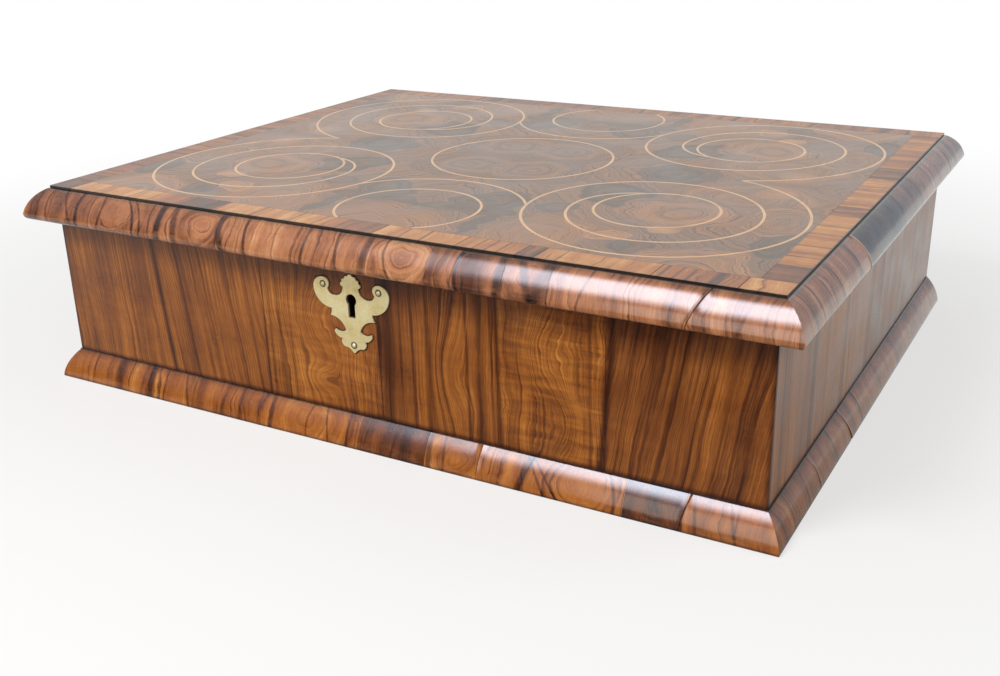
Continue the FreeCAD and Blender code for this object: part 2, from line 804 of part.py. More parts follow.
def scroll_arcs():
    """Back right scroll: half turns about two middles, out from the small ring to the cusp."""
    inner_x = scroll_eye_x - scroll_first_radius
    turn = math.radians(scroll_start_angle)
    start_x = small_ring_x + small_ring_radius * math.cos(turn)
    start_y = small_ring_y - small_ring_radius * math.sin(turn)
    across, along = start_x - inner_x, start_y - scroll_eye_y
    first = (across ** 2 + along ** 2) / (2 * across)
    start_angle = math.degrees(math.atan2(along, across - first))
    arcs = [((inner_x + first, scroll_eye_y), first, start_angle, -180)]
    far_middle = (scroll_eye_x, scroll_eye_y)
    near_middle = (scroll_eye_x - scroll_step, scroll_eye_y)
    arcs.append((far_middle, scroll_first_radius, 180, 0))
    arcs.append((near_middle, scroll_first_radius + scroll_step, 0, -180))
    arcs.append((far_middle, scroll_last_radius, 180, 0))
    outer_x = scroll_eye_x + scroll_last_radius
    sweep = outer_x - scroll_cusp_x
    closing = (sweep ** 2 + scroll_eye_y ** 2) / (2 * sweep)
    stop_angle = math.degrees(math.atan2(-scroll_eye_y, closing - sweep))
    arcs.append(((outer_x - closing, scroll_eye_y), closing, 0, stop_angle))
    return arcs


def link_angle():
    """Angle on the back link at which its line meets the scroll's last far half turn."""
    across, along = scroll_eye_x, scroll_eye_y - bay_y
    distance = math.hypot(across, along)
    foot = (link_radius ** 2 - scroll_last_radius ** 2 + distance ** 2) / (2 * distance)
    return math.degrees(math.atan2(along, across) - math.acos(foot / link_radius))


def string_lines(spare):
    """Solids of every line, each side widened by the spare width."""
    half = string_width / 2 + spare
    bottom = total_height - string_depth

    def line(arcs):
        face = strip_face(arcs, half, lambda x, y: Vector(x, y, bottom))
        return face.extrude(Vector(0, 0, string_depth))

    def ring(x, y, radius):
        foot, top = Vector(x, y, bottom), Vector(x, y, total_height)
        return cylinder(radius + half, foot, top).cut(cylinder(radius - half, foot, top))

    def to_front(shapes):
        return shapes + [shape.mirror(origin, along_y) for shape in shapes]

    def to_corners(shape):
        return to_front([shape, shape.mirror(origin, along_x)])

    depth = (bottom - cut_overrun, total_height + cut_overrun)
    beyond_middle = box((0, lid_half_width), (-lid_half_depth, block_gap / 2), depth)
    within_field = box(centred(0, lid_half_width), centred(0, field_half_depth), depth)
    scrolls = to_corners(line(scroll_arcs()).cut(beyond_middle))
    rings = to_corners(ring(small_ring_x, small_ring_y, small_ring_radius))
    rings.append(ring(0, 0, middle_ring_radius))
    bays = to_front([ring(0, bay_y, bay_radius).common(within_field)])
    meeting = link_angle()
    links = to_front([line([((0, bay_y), link_radius, meeting, -180 - meeting)])])
    return {"scrolls": scrolls, "rings": rings, "bays": bays, "links": links}


def make_field_and_stringing():
    grooves = string_lines(line_clearance)
    lines = string_lines(0)
    all_grooves = [groove for shapes in grooves.values() for groove in shapes]
    columns = [share * field_half_width for share in (-1,) + field_column_shares + (1,)]
    rows = [share * field_half_depth for share in (-1,) + field_row_shares + (1,)]
    depth = (lid_bed, total_height)
    leaves = []
    for x_range in zip(columns, columns[1:]):
        leaves += [box(x_range, y_range, depth) for y_range in zip(rows, rows[1:])]
    ring_grooves = Part.makeCompound(grooves["rings"])
    scroll_grooves = Part.makeCompound(grooves["scrolls"])
    return {
        "oyster_field": group([cut(leaf, all_grooves) for leaf in leaves]),
        "stringing_scrolls": group([scroll.cut(ring_grooves) for scroll in lines["scrolls"]]),
        "stringing_rings": group(lines["rings"]),
        "stringing_bays": group(lines["bays"]),
        "stringing_links": group([link.cut(scroll_grooves) for link in lines["links"]]),
    }


def make_nodes():
    bottom_nails = [nail(bottom_nail_length, place, along_z) for place in bottom_nail_places()]
    lock_nails = [nail(lock_nail_length, place, -along_y) for place in lock_nail_places()]
    link_nails = [nail(leaf_nail_length, place, along_z) for place in link_nail_places()]
    lower_leaf_nails = [shape for x in hinge_places for shape in lower_nails(x)]
    upper_leaf_nails = [shape for x in hinge_places for shape in upper_nails(x)]
    recesses = [upper_recess(x) for x in hinge_places]
    notches = [barrel(x, notch_radius, hinge_gap) for x in hinge_places]
    link_recess = link_box((joint_height - cut_overrun, joint_height + link_sheet))

    nodes = {}
    nodes.update(make_boards(bottom_nails, lock_nails, lower_leaf_nails))
    nodes.update(make_veneers())
    nodes.update(make_base_mouldings())
    nodes["key_plate"] = make_key_plate()
    nodes["key_plate_pins"] = make_plate_pins()
    nodes["lock_plate"] = make_lock_plate(lock_nails)
    nodes["lock_bolt"] = make_bolt()
    nodes["bolt_keeps"] = make_bolt_keeps()
    nodes["bolt_spring"] = make_bolt_spring()
    nodes["lock_wards"] = make_lock_wards()
    nodes.update(make_link_plate(link_nails))
    nodes.update(make_lid_planks(recesses + upper_leaf_nails + link_nails + [link_recess]))
    nodes.update(make_lid_mouldings(notches + recesses))
    nodes.update(make_crossbands())
    nodes.update(make_field_and_stringing())
    for side, x in zip(("left", "right"), hinge_places):
        nodes["hinge_lower_leaf_" + side] = make_lower_leaf(x, lower_leaf_nails)
        nodes["hinge_upper_leaf_" + side] = make_upper_leaf(x, upper_leaf_nails)
        nodes["hinge_pin_" + side] = barrel(x, hinge_pin_radius, 0)
    nodes["hinge_lower_nails"] = group(lower_leaf_nails)
    nodes["hinge_upper_nails"] = group(upper_leaf_nails)
    nodes["lock_nails"] = group(lock_nails)
    nodes["link_nails"] = group(link_nails)
    nodes["bottom_nails"] = group(bottom_nails)
    return nodes


os.makedirs("parts", exist_ok=True)
for name, shape in make_nodes().items():
    shape.exportStep(os.path.join("parts", name + ".step"))
    print(name, len(shape.Solids), round(shape.Volume), shape.isValid())
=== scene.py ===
import cmath
import math
import random

import bpy
import bmesh
from mathutils import Matrix, Vector, noise


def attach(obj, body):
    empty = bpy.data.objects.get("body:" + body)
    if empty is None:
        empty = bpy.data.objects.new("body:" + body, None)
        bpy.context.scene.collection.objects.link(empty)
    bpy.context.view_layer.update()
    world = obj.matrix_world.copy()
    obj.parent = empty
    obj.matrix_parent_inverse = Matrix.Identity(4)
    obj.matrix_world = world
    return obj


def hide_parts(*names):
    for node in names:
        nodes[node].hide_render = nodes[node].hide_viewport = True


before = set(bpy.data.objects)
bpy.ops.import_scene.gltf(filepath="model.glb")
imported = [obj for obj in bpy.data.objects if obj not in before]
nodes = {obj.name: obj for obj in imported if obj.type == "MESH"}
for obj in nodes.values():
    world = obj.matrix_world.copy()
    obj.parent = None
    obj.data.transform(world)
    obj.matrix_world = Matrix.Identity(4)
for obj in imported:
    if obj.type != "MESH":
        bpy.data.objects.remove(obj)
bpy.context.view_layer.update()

MM = 0.001

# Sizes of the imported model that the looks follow, in millimetres
LID_HALF_X, LID_HALF_Y = 265.5, 214.2
LID_TOP, JOINT = 145.2, 122.0
CASE_HALF_X, CASE_FRONT, CASE_BACK = 262.7, -211.4, 228.9
LID_PROJECTION, BASE_PROJECTION, BASE_HEIGHT = 14.7, 11.0, 20.2
JOINT_WIDTH = 0.3
FAR = 1000.0
DIAGONAL = 0.7071
BAND_WIDTH, VENEER = 20.0, 2.0
EYE_ROOM = 100.0

# Moulding profiles: the lid's drop below the top, its nose and its core; the base's swell and its core
LID_DROP, NOSE_RADIUS, NOSE_BLEND, SHOULDER = 1.8, 4.0, 15.0, 0.8
LID_CORE_OUT, LID_CORE_UP = 7.0, 12.5
BASE_LIP, BASE_FOOT, BASE_SWELL = 0.7, 1.5, 1.6
BASE_CORE_OUT, BASE_CORE_UP = 3.4, 11.0


class Value:
    """A number, vector, colour or shader in a node tree. Arithmetic with it makes nodes."""

    def __init__(self, tree, socket):
        self.tree, self.socket = tree, socket

    def math(self, operation, other=0.0):
        return self.tree.math(operation, self, other)

    def __add__(self, other):
        return self.math("ADD", other)

    def __sub__(self, other):
        return self.math("SUBTRACT", other)

    def __rsub__(self, other):
        return self.tree.math("SUBTRACT", other, self)

    def __mul__(self, other):
        return self.math("MULTIPLY", other)

    def __truediv__(self, other):
        return self.math("DIVIDE", other)

    def __pow__(self, power):
        return self.math("POWER", power)

    def __abs__(self):
        return self.math("ABSOLUTE")

    __radd__, __rmul__ = __add__, __mul__

    def swing(self, amount):
        """A noise from 0 to 1 as a swing of that amount either way."""
        return self.tree.math("MULTIPLY_ADD", self, 2 * amount, -amount)

    def smooth(self, low, high, to_low=0.0, to_high=1.0, kind="SMOOTHSTEP"):
        inputs = {"Value": self, "From Min": low, "From Max": high, "To Min": to_low, "To Max": to_high}
        return self.tree.add("MapRange", inputs, interpolation_type=kind)

    def shade(self, factor):
        """This colour times a factor."""
        return self.tree.blend(self, self.tree.join(factor, factor, factor), 1.0, "MULTIPLY")

    def redden(self, factor):
        """This colour times a factor, with green and blue falling faster, as in dark heartwood."""
        return self.tree.blend(self, self.tree.join(factor, factor ** 1.2, factor ** 1.35), 1.0, "MULTIPLY")


class Tree:
    """The node tree of a material or a world, with short words for its common nodes."""

    def __init__(self, owner):
        owner.use_nodes = True
        self.nodes, self.links = owner.node_tree.nodes, owner.node_tree.links

    def put(self, socket, value):
        if isinstance(value, Value):
            self.links.new(value.socket, socket)
        else:
            socket.default_value = value

    def add(self, kind, inputs, out=0, **settings):
        node = self.nodes.new("ShaderNode" + kind)
        for key, value in settings.items():
            setattr(node, key, value)
        for key, value in inputs.items():
            self.put(node.inputs[key], value)
        return Value(self, node.outputs[out])

    def math(self, operation, a, b=0.0, c=0.0):
        return self.add("Math", {0: a, 1: b, 2: c}, operation=operation)

    def split(self, vector):
        node = self.nodes.new("ShaderNodeSeparateXYZ")
        self.put(node.inputs[0], vector)
        return [Value(self, socket) for socket in node.outputs]

    def join(self, x, y, z=0.0):
        return self.add("CombineXYZ", {0: x, 1: y, 2: z})

    def stretch(self, vector, scale):
        return self.add("VectorMath", {0: vector, 1: scale}, operation="MULTIPLY")

    def noise(self, x, y, z, scale, detail=2.0, roughness=0.5, distortion=0.0):
        """Noise from 0 to 1, stretched along X and Y, and along Z where a third scale is given."""
        place = self.stretch(self.join(x, y, z), (*scale, 1.0)[:3])
        inputs = {"Vector": place, "Scale": 1.0, "Detail": detail}
        inputs.update({"Roughness": roughness, "Distortion": distortion})
        return self.add("TexNoise", inputs)

    def line_noise(self, w, detail=2.0):
        inputs = {"W": w, "Scale": 1.0, "Detail": detail, "Roughness": 0.55}
        return self.add("TexNoise", inputs, noise_dimensions="1D")

    def ramp(self, fac, stops, interpolation="LINEAR"):
        node = self.nodes.new("ShaderNodeValToRGB")
        self.put(node.inputs[0], fac)
        node.color_ramp.interpolation = interpolation
        elements = node.color_ramp.elements
        while len(elements) < len(stops):
            elements.new(1.0)
        for element, (place, colour) in zip(elements, stops):
            element.position = place
            element.color = (*colour, 1.0)
        return Value(self, node.outputs[0])

    def blend(self, a, b, fac, kind="MIX"):
        """Colour a where the factor is 0, and b where it is 1."""
        a, b = ((*part, 1.0) if isinstance(part, tuple) else part for part in (a, b))
        return self.add("Mix", {0: fac, 6: a, 7: b}, 2, data_type="RGBA", blend_type=kind)

    def mix(self, a, b, fac):
        """Shader a where the factor is 0, and b where it is 1."""
        return self.add("MixShader", {0: fac, 1: a, 2: b})

    def surface(self, kind, shader):
        self.put(self.nodes.new("ShaderNodeOutput" + kind).inputs["Surface"], shader)


class Graph(Tree):
    """A material, with places in millimetres in the piece's own frame."""

    def __init__(self, name, roughness=0.4, metallic=0.0, coat=0.0, coat_roughness=0.1, specular=0.5):
        self.material = bpy.data.materials.new(name)
        super().__init__(self.material)
        self.shader = self.nodes["Principled BSDF"]
        constants = {
            "Roughness": roughness, "Metallic": metallic, "Coat Weight": coat,
            "Coat Roughness": coat_roughness, "Specular IOR Level": specular,
        }
        for key, value in constants.items():
            self.shader.inputs[key].default_value = value
        place = self.add("TexCoord", {}, "Object")
        self.x, self.y, self.z = self.split(self.stretch(place, (1 / MM, 1 / MM, 1 / MM)))
        self.facing = self.split(self.add("TexCoord", {}, "Normal"))

    def finish(self, colour, height, bump, depth, roughness=None):
        self.put(self.shader.inputs["Base Color"], colour)
        if roughness is not None:
            self.put(self.shader.inputs["Roughness"], roughness)
        inputs = {"Height": height, "Strength": bump, "Distance": depth * MM}
        self.put(self.shader.inputs["Normal"], self.add("Bump", inputs))
        return self.material


def distance(across, along):
    return (across * across + along * along).math("SQRT")


def bell(across, along):
    """1 at the middle, falling smoothly to 0 all round."""
    return (-1.0 * (across * across + along * along)).math("EXPONENT")


def growth(ring, spacing, wander):
    """Growth rings: each darkens towards its outer edge and then stops short, from 0 to 1."""
    drift = ring.tree.line_noise(ring * (0.31 / spacing))
    count = ring * (1 / spacing) + drift.swing(wander)
    part = count.math("FRACT")
    own = ring.tree.line_noise(count.math("FLOOR") * 1.7, 0.0)
    late = part.smooth(0.45, 0.96) * part.smooth(0.965, 1.0, 1.0, 0.0)
    return late * own.smooth(0.38, 0.68, 0.08, 1.0)


# Tones of the woods and metals, from dark to pale
def tones(*colours):
    return tuple(zip((0.0, 0.2, 0.42, 0.65, 0.85, 1.0), colours))


WOOD = tones(
    (0.018, 0.006, 0.004), (0.066, 0.018, 0.006), (0.185, 0.052, 0.009),
    (0.345, 0.108, 0.016), (0.480, 0.190, 0.036), (0.600, 0.300, 0.095))
LID_WOOD = tones(
    (0.020, 0.010, 0.008), (0.072, 0.027, 0.017), (0.192, 0.068, 0.027),
    (0.358, 0.140, 0.060), (0.500, 0.232, 0.100), (0.600, 0.340, 0.200))
LEAF = tones(
    (0.016, 0.006, 0.004), (0.055, 0.017, 0.006), (0.165, 0.047, 0.008),
    (0.325, 0.106, 0.012), (0.480, 0.190, 0.028), (0.620, 0.310, 0.080))
OYSTER = tones(
    (0.020, 0.016, 0.012), (0.078, 0.046, 0.028), (0.170, 0.080, 0.037),
    (0.330, 0.145, 0.054), (0.480, 0.235, 0.085), (0.600, 0.340, 0.150))
BOXWOOD = ((0.0, (0.40, 0.19, 0.07)), (0.5, (0.66, 0.37, 0.15)), (1.0, (0.80, 0.52, 0.24)))
SOFTWOOD = (
    (0.0, (0.115, 0.045, 0.016)), (0.4, (0.26, 0.118, 0.043)),
    (0.7, (0.40, 0.205, 0.082)), (1.0, (0.53, 0.31, 0.14)))
BRASS = (
    (0.0, (0.40, 0.30, 0.12)), (0.4, (0.80, 0.65, 0.31)),
    (0.75, (0.93, 0.81, 0.47)), (1.0, (0.97, 0.89, 0.60)))
IRON = (
    (0.2, (0.045, 0.040, 0.038)), (0.5, (0.105, 0.092, 0.082)),
    (0.7, (0.14, 0.085, 0.05)), (0.9, (0.19, 0.09, 0.04)))
# Painted shadow round the key plate
PLATE_SHADOW = ((0.3, (0.014, 0.008, 0.005)), (0.7, (0.05, 0.022, 0.011)))


def leaning(joints):
    """Each joint as its place and its lean. A joint is written as both, or as its place alone."""
    return [joint if isinstance(joint, tuple) else (joint, 0.0) for joint in joints]


def middles(joints):
    return [place for place, lean in leaning(joints)]


def nearest_joint(u, v, joints):
    """Distance to the nearest joint."""
    nearest = FAR
    for place, lean in leaning(joints):
        here = u - place - lean * v if lean else u - place
        nearest = abs(here).math("MINIMUM", nearest)
    return nearest


def lookup(g, u, low, high, joints, rows):
    """Three values, each from 0 to 1, that change at the joints."""
    span = high - low
    edges = [low] + middles(joints)
    stops = [((edge - low) / span, row) for edge, row in zip(edges, rows)]
    return g.split(g.ramp((u - low) / span, stops, "CONSTANT"))


def cross_grain(
        name, u, v, low, high, joints, rows, bands, tall, coat, coat_roughness, specular, wood):
    """Short blocks with their grain across the run: growth rings about an eye, cut by the joints.
    A row is the block's tone, the place of its eye and its seed. A band is a dark line across the
    run: its place, half its width, how dark it is and, where they aren't 0, its lean and its bow."""
    g = Graph(name, coat=coat, coat_roughness=coat_roughness, specular=specular)
    u, v = u(g), v(g)
    start, length = low - EYE_ROOM, high - low + 2 * EYE_ROOM
    table = [(tone, (eye - start) / length, seed) for tone, eye, seed in rows]
    tone, eye, seed = lookup(g, u, low, high, joints, table)
    seed_z = seed * 913
    warp = g.noise(u, v, seed_z, (0.05, 0.06))
    wobble = g.noise(u, v, seed_z, (0.3, 0.12))
    across = u - (eye * length + start) + warp.swing(4.6)
    along = (v + warp.swing(7)) * tall
    ring = distance(across, along)
    calm = ring.smooth(1.5, 11, 0.3)
    ring = ring + wobble.swing(0.5) + seed_z
    broad = g.line_noise(ring * 0.09, 1)
    fade = g.noise(u, v, seed_z, (0.09, 0.05), 1)
    late = growth(ring, 4.2, 1.2) * calm * fade.smooth(0.3, 0.6, 0.25)
    fine = g.line_noise(ring * 1.5)
    fibre = g.noise(u, v, seed_z, (2.2, 0.16), 3)
    mottle = g.noise(u, v, seed_z, (0.04, 0.06), 3)
    total = tone + broad.swing(0.28) + fine.swing(0.16) + fibre.swing(0.22) + mottle.swing(0.2)
    dark = 1 - 0.72 * late
    for place, width, depth, *shape in bands:
        lean, bow = (*shape, 0, 0)[:2]
        here = u - place
        if lean:
            here = here - lean * v
        if bow:
            here = here - bow * 0.01 * (v * v)
        here = abs(here) + wobble.swing(0.3 + 0.2 * width)
        dark = dark * here.smooth(width * 0.4, width * 1.6, (1 - depth) * 0.75)
    gap = nearest_joint(u, v, joints) + wobble.swing(0.06)
    seam = gap.smooth(JOINT_WIDTH * 0.3, JOINT_WIDTH, 1, 0)
    near = gap.smooth(0, 1.6, 0.82)
    colour = g.ramp(total, wood).redden(dark).shade(near - 0.6 * seam)
    return g, colour, 0.3 * fibre - 0.25 * late - seam


# Runs of mouldings and bands: where they lie, their joints in millimetres along X or Y, and their blocks
ALONG = {
    "front": lambda g: g.x,
    "right": lambda g: g.y,
    "back": lambda g: -1 * g.x,
    "left": lambda g: -1 * g.y,
}


def out_from(g, side, edge):
    """Distance out from a straight edge on that side."""
    return {"front": -1 * g.y, "right": g.x, "back": g.y, "left": -1 * g.x}[side] - edge


def random_rows(seed, edges):
    """Blocks for a run that the photograph doesn't show: tones and eyes drawn once."""
    draw = random.Random(seed)
    rows = []
    for low, high in zip(edges, edges[1:]):
        tone = draw.choice((0.3, 0.42, 0.5, 0.58, 0.62)) + draw.uniform(-0.05, 0.05)
        eye = draw.uniform(low, high) if draw.random() < 0.5 else low - draw.uniform(30, 70)
        rows.append((tone, eye, draw.random()))
    return rows


RANDOM_BANDS = 14


def random_bands(seed, low, high):
    draw = random.Random(seed * 31)
    return [
        (draw.uniform(low, high), draw.uniform(0.6, 2.2), draw.uniform(0.35, 0.65), draw.uniform(-0.2, 0.2))
        for _ in range(RANDOM_BANDS)
    ]


LID_EDGES = {"front": LID_HALF_Y, "right": LID_HALF_X, "back": LID_HALF_Y, "left": LID_HALF_X}
LID_LONG, LID_SHORT = LID_HALF_X + LID_PROJECTION, LID_HALF_Y + LID_PROJECTION
LID_HALVES = {"front": LID_LONG, "right": LID_SHORT, "back": LID_LONG, "left": LID_SHORT}
BASE_EDGES = {"front": -CASE_FRONT, "right": CASE_HALF_X, "left": CASE_HALF_X}
BASE_LONG, BASE_FRONT = CASE_HALF_X + BASE_PROJECTION, CASE_FRONT - BASE_PROJECTION
BASE_SPANS = {
    "front": (-BASE_LONG, BASE_LONG), "right": (BASE_FRONT, CASE_BACK), "left": (-CASE_BACK, -BASE_FRONT)}
BAND_SHORT = LID_HALF_Y - BAND_WIDTH
BAND_HALVES = {"front": LID_HALF_X, "right": BAND_SHORT, "back": LID_HALF_X, "left": BAND_SHORT}

LID_JOINTS = {
    "front": [
        -229, -154, -101, -79, -32, (-7, 0.1), 16, 58, (76, 0.12), 108, 137, (221, 0.42),
    ],
    "right": [-151, -134, (-91, -0.15), 10, 62, 170],
    "back": [-218.5, -126.1, -86.9, -16.8, 33.6, 95.3, 123.3, 215.8],
    "left": [-162.5, -98.4, -45.8, 25.2, 82.4, 155.7],
}
BASE_JOINTS = {
    "front": [-188, -146, -87, -6, 47, 85, (118, 0.35), 181, (218, 0.2)],
    "right": [-138, (-67, -0.2), -35, 70, 165],
    "left": [-147.7, -86.7, 1.3, 62.2, 134.4],
}
BAND_JOINTS = {
    "front": [-245.6, -172, -147.1, -115, -34, -15.9, 11.9, 70.1, 109.9, 121, 192, 240],
    "right": [-167, -60, -36.9, 41, 75, 139, 182.5],
    "back": [-238.9, -162, -98.2, -45.1, 23.9, 79.7, 154, 241.6],
    "left": [-174.8, -106.8, -40.8, 27.2, 81.6, 169],
}

LID_ROWS = {
    "front": [
        (0.44, -330, 0.11), (0.55, -193, 0.35), (0.6, -115, 0.62), (0.69, -150, 0.21), (0.7, -125, 0.77),
        (0.6, -66, 0.41), (0.63, 60, 0.93), (0.68, 40, 0.15), (0.56, 130, 0.57), (0.42, 150, 0.83),
        (0.5, 124, 0.29), (0.6, 260, 0.68), (0.57, 340, 0.05),
    ],
    "right": [
        (0.62, -290, 0.31), (0.76, -200, 0.52), (0.62, -50, 0.74), (0.1, -140, 0.18), (0.36, 130, 0.64),
        (0.5, 20, 0.87), (0.42, 270, 0.09),
    ],
}
BASE_ROWS = {
    "front": [
        (0.58, -150, 0.13), (0.64, -250, 0.44), (0.56, -60, 0.71), (0.64, -48, 0.28), (0.26, 110, 0.59),
        (0.62, 70, 0.86), (0.63, 170, 0.37), (0.64, 155, 0.02), (0.22, 270, 0.66), (0.56, 320, 0.49),
    ],
    "right": [
        (0.56, -290, 0.23), (0.6, -100, 0.47), (0.55, 20, 0.81), (0.58, 20, 0.34), (0.5, 116, 0.69),
        (0.52, 290, 0.12),
    ],
}
BAND_ROWS = {
    "front": [
        (0.26, -330, 0.2), (0.88, -330, 0.55), (0.54, -240, 0.9), (0.22, -220, 0.3), (0.86, -180, 0.7),
        (0.66, -110, 0.1), (0.46, 90, 0.4), (0.84, -60, 0.8), (0.7, -10, 0.6), (0.24, 40, 0.25),
        (0.82, 50, 0.45), (0.6, 330, 0.65), (0.88, 258, 0.95),
    ],
    "right": [
        (0.34, -280, 0.15), (0.78, -270, 0.5), (0.46, -150, 0.85), (0.78, -80, 0.35), (0.36, 160, 0.05),
        (0.6, -10, 0.75), (0.74, 40, 0.6), (0.34, 290, 0.22),
    ],
}


# Dark lines and bands across the mouldings, from the photograph
LID_BANDS = {
    "front": [
        (-259, 0.9, 0.5, 0, 1.5), (-240, 1.2, 0.45, -0.5), (-229, 1.6, 0.7, 0, 1), (-216, 0.6, 0.4),
        (-206, 1, 0.5, 0, -1.5), (-177, 1.1, 0.7, -0.55, -3), (-170.5, 0.9, 0.55, -0.55, -3),
        (-161, 0.7, 0.45, -0.1), (-152.5, 2.8, 0.86), (-139.5, 2.6, 0.62, -0.2),
        (-100.5, 2.6, 0.78, -0.1, 2), (-79, 0.9, 0.7, -0.15), (-55, 0.8, 0.25), (-31.5, 0.9, 0.4, 0.1),
        (-7.5, 1, 0.6, -0.15), (13.5, 2.6, 0.7, 0.1), (27, 0.9, 0.55, -0.2, 2), (60.5, 2.4, 0.5),
        (77, 1.4, 0.75, 0, 1.5), (86, 5, 0.5), (105, 2.4, 0.75), (121, 2.6, 0.6, -0.45), (132, 4, 0.6, 0.3),
        (158, 0.8, 0.4, 0.25), (249, 1.2, 0.3, 0.3),
    ],
    "right": [
        (-205, 0.8, 0.4), (-190, 1.2, 0.5, 0.1), (-172, 0.9, 0.5, 0, 1), (-151, 1.4, 0.55), (-112, 2, 0.4),
        (-20, 2, 0.35), (62, 2.4, 0.5), (120, 1, 0.4, 0.1),
    ],
}
BASE_BANDS = {
    "front": [
        (-243, 0.8, 0.4), (-217, 4, 0.45), (-186, 2.4, 0.7), (-173, 0.7, 0.4), (-152.5, 0.9, 0.5, -0.3),
        (-140, 4, 0.3), (-103, 1.2, 0.4), (-76, 1.8, 0.6), (-46, 0.7, 0.4, 0.1, 1.5),
        (-30, 0.8, 0.45, -0.25), (-13, 0.9, 0.55), (49.5, 2, 0.6, -0.1), (60, 0.9, 0.45, -0.1),
        (116.5, 2.2, 0.65, 0.25), (130, 1, 0.6, -0.9), (124, 1, 0.5, -0.7), (175, 1.1, 0.6, -0.3, -2),
        (224, 1, 0.5, -0.2), (246, 1, 0.45, -0.3),
    ],
    "right": [(-190, 1, 0.4), (-160, 1.4, 0.4, 0.2), (-100, 2, 0.4), (20, 1.4, 0.4)],
}
BAND_BANDS = {
    "front": [
        (-221, 0.8, 0.4), (-190, 0.8, 0.4), (-83, 0.6, 0.4), (-52, 0.6, 0.4), (30, 0.8, 0.5, 0.1),
        (45, 1, 0.55, 0.1), (82, 0.8, 0.5), (90, 0.8, 0.5), (98, 0.8, 0.5), (135, 0.7, 0.45), (196, 1, 0.5),
        (204, 0.8, 0.5), (211, 0.8, 0.55), (226, 3.2, 0.75),
    ],
    "right": [
        (-150, 0.7, 0.4), (-128, 0.8, 0.5), (-103, 0.8, 0.4), (-84, 0.7, 0.45), (-20, 0.7, 0.4),
        (12, 0.7, 0.4), (160, 0.8, 0.4),
    ],
}


def moulding_material(kind, side, low, high, joints, rows, edge):
    lid = kind == "lid"
    foot = JOINT if lid else 0
    middle = foot + (5 if lid else 4)
    bands = (LID_BANDS if lid else BASE_BANDS).get(side) or random_bands(len(side), low, high)

    def around(g):
        return (g.z - middle - out_from(g, side, edge)) * DIAGONAL

    g, colour, height = cross_grain(
        kind + "_moulding_" + side, ALONG[side], around, low, high, joints, rows, bands, 1.2, 1, 0.15, 0.2,
        LID_WOOD if lid else WOOD)
    out = out_from(g, side, edge)
    up = g.z - foot
    # Painted shade: the moulding darkens towards its inner edge, in the crease where it meets the lid's top,
    # and the case at the base
    crease_shade = out.smooth(0.3, 1.6, 0.1, 0.6) + out.smooth(1.2, 4.5, 0, 0.4)
    # Painted shade: the moulding darkens towards its foot, beneath the lid's nose and against the floor at
    # the base
    if lid:
        worn = out.smooth(LID_PROJECTION - 2.2, LID_PROJECTION - 0.1) * up.smooth(1, 5)
        bottom_shade = up.smooth(-0.1, 2.2, 0.45)
    else:
        worn = out.smooth(BASE_PROJECTION - 2.5, BASE_PROJECTION) * up.smooth(0.5, 3)
        bottom_shade = up.smooth(0, 2.2, 0.35)
    patches = g.noise(g.x, g.y, g.z, (0.06, 0.06, 0.2), 3)
    colour = colour.shade(crease_shade * bottom_shade)
    colour = g.blend(colour, (0.42, 0.19, 0.075), worn * patches.smooth(0.5, 0.72, 0, 0.35))
    return g.finish(colour, height, 0.34, 0.18, patches.smooth(0.3, 0.75, 0.22, 0.36))


def band_material(side):
    half, joints = BAND_HALVES[side], BAND_JOINTS[side]
    rows = BAND_ROWS.get(side) or random_rows(len(side) + 40, [-half] + joints + [half])
    bands = BAND_BANDS.get(side) or random_bands(len(side) + 3, -half, half)

    def across(g):
        return out_from(g, side, LID_EDGES[side]) + BAND_WIDTH / 2

    g, colour, height = cross_grain(
        "crossband_" + side, ALONG[side], across, -half, half, joints, rows, bands, 0.12, 0.3, 0.1, 0.5, WOOD)
    out = out_from(g, side, LID_EDGES[side])
    # Painted shade: faces that don't look up, such as the band's edge above the moulding, are made nearly
    # black
    top = g.facing[2].smooth(0.3, 0.8, 0.08)
    inner = out.smooth(-BAND_WIDTH, 1.1 - BAND_WIDTH, 0.45)
    outer = out.smooth(-1.6, 0, 1, 0.55)
    return g.finish(colour.shade(top * inner * outer), height, 0.2, 0.15)


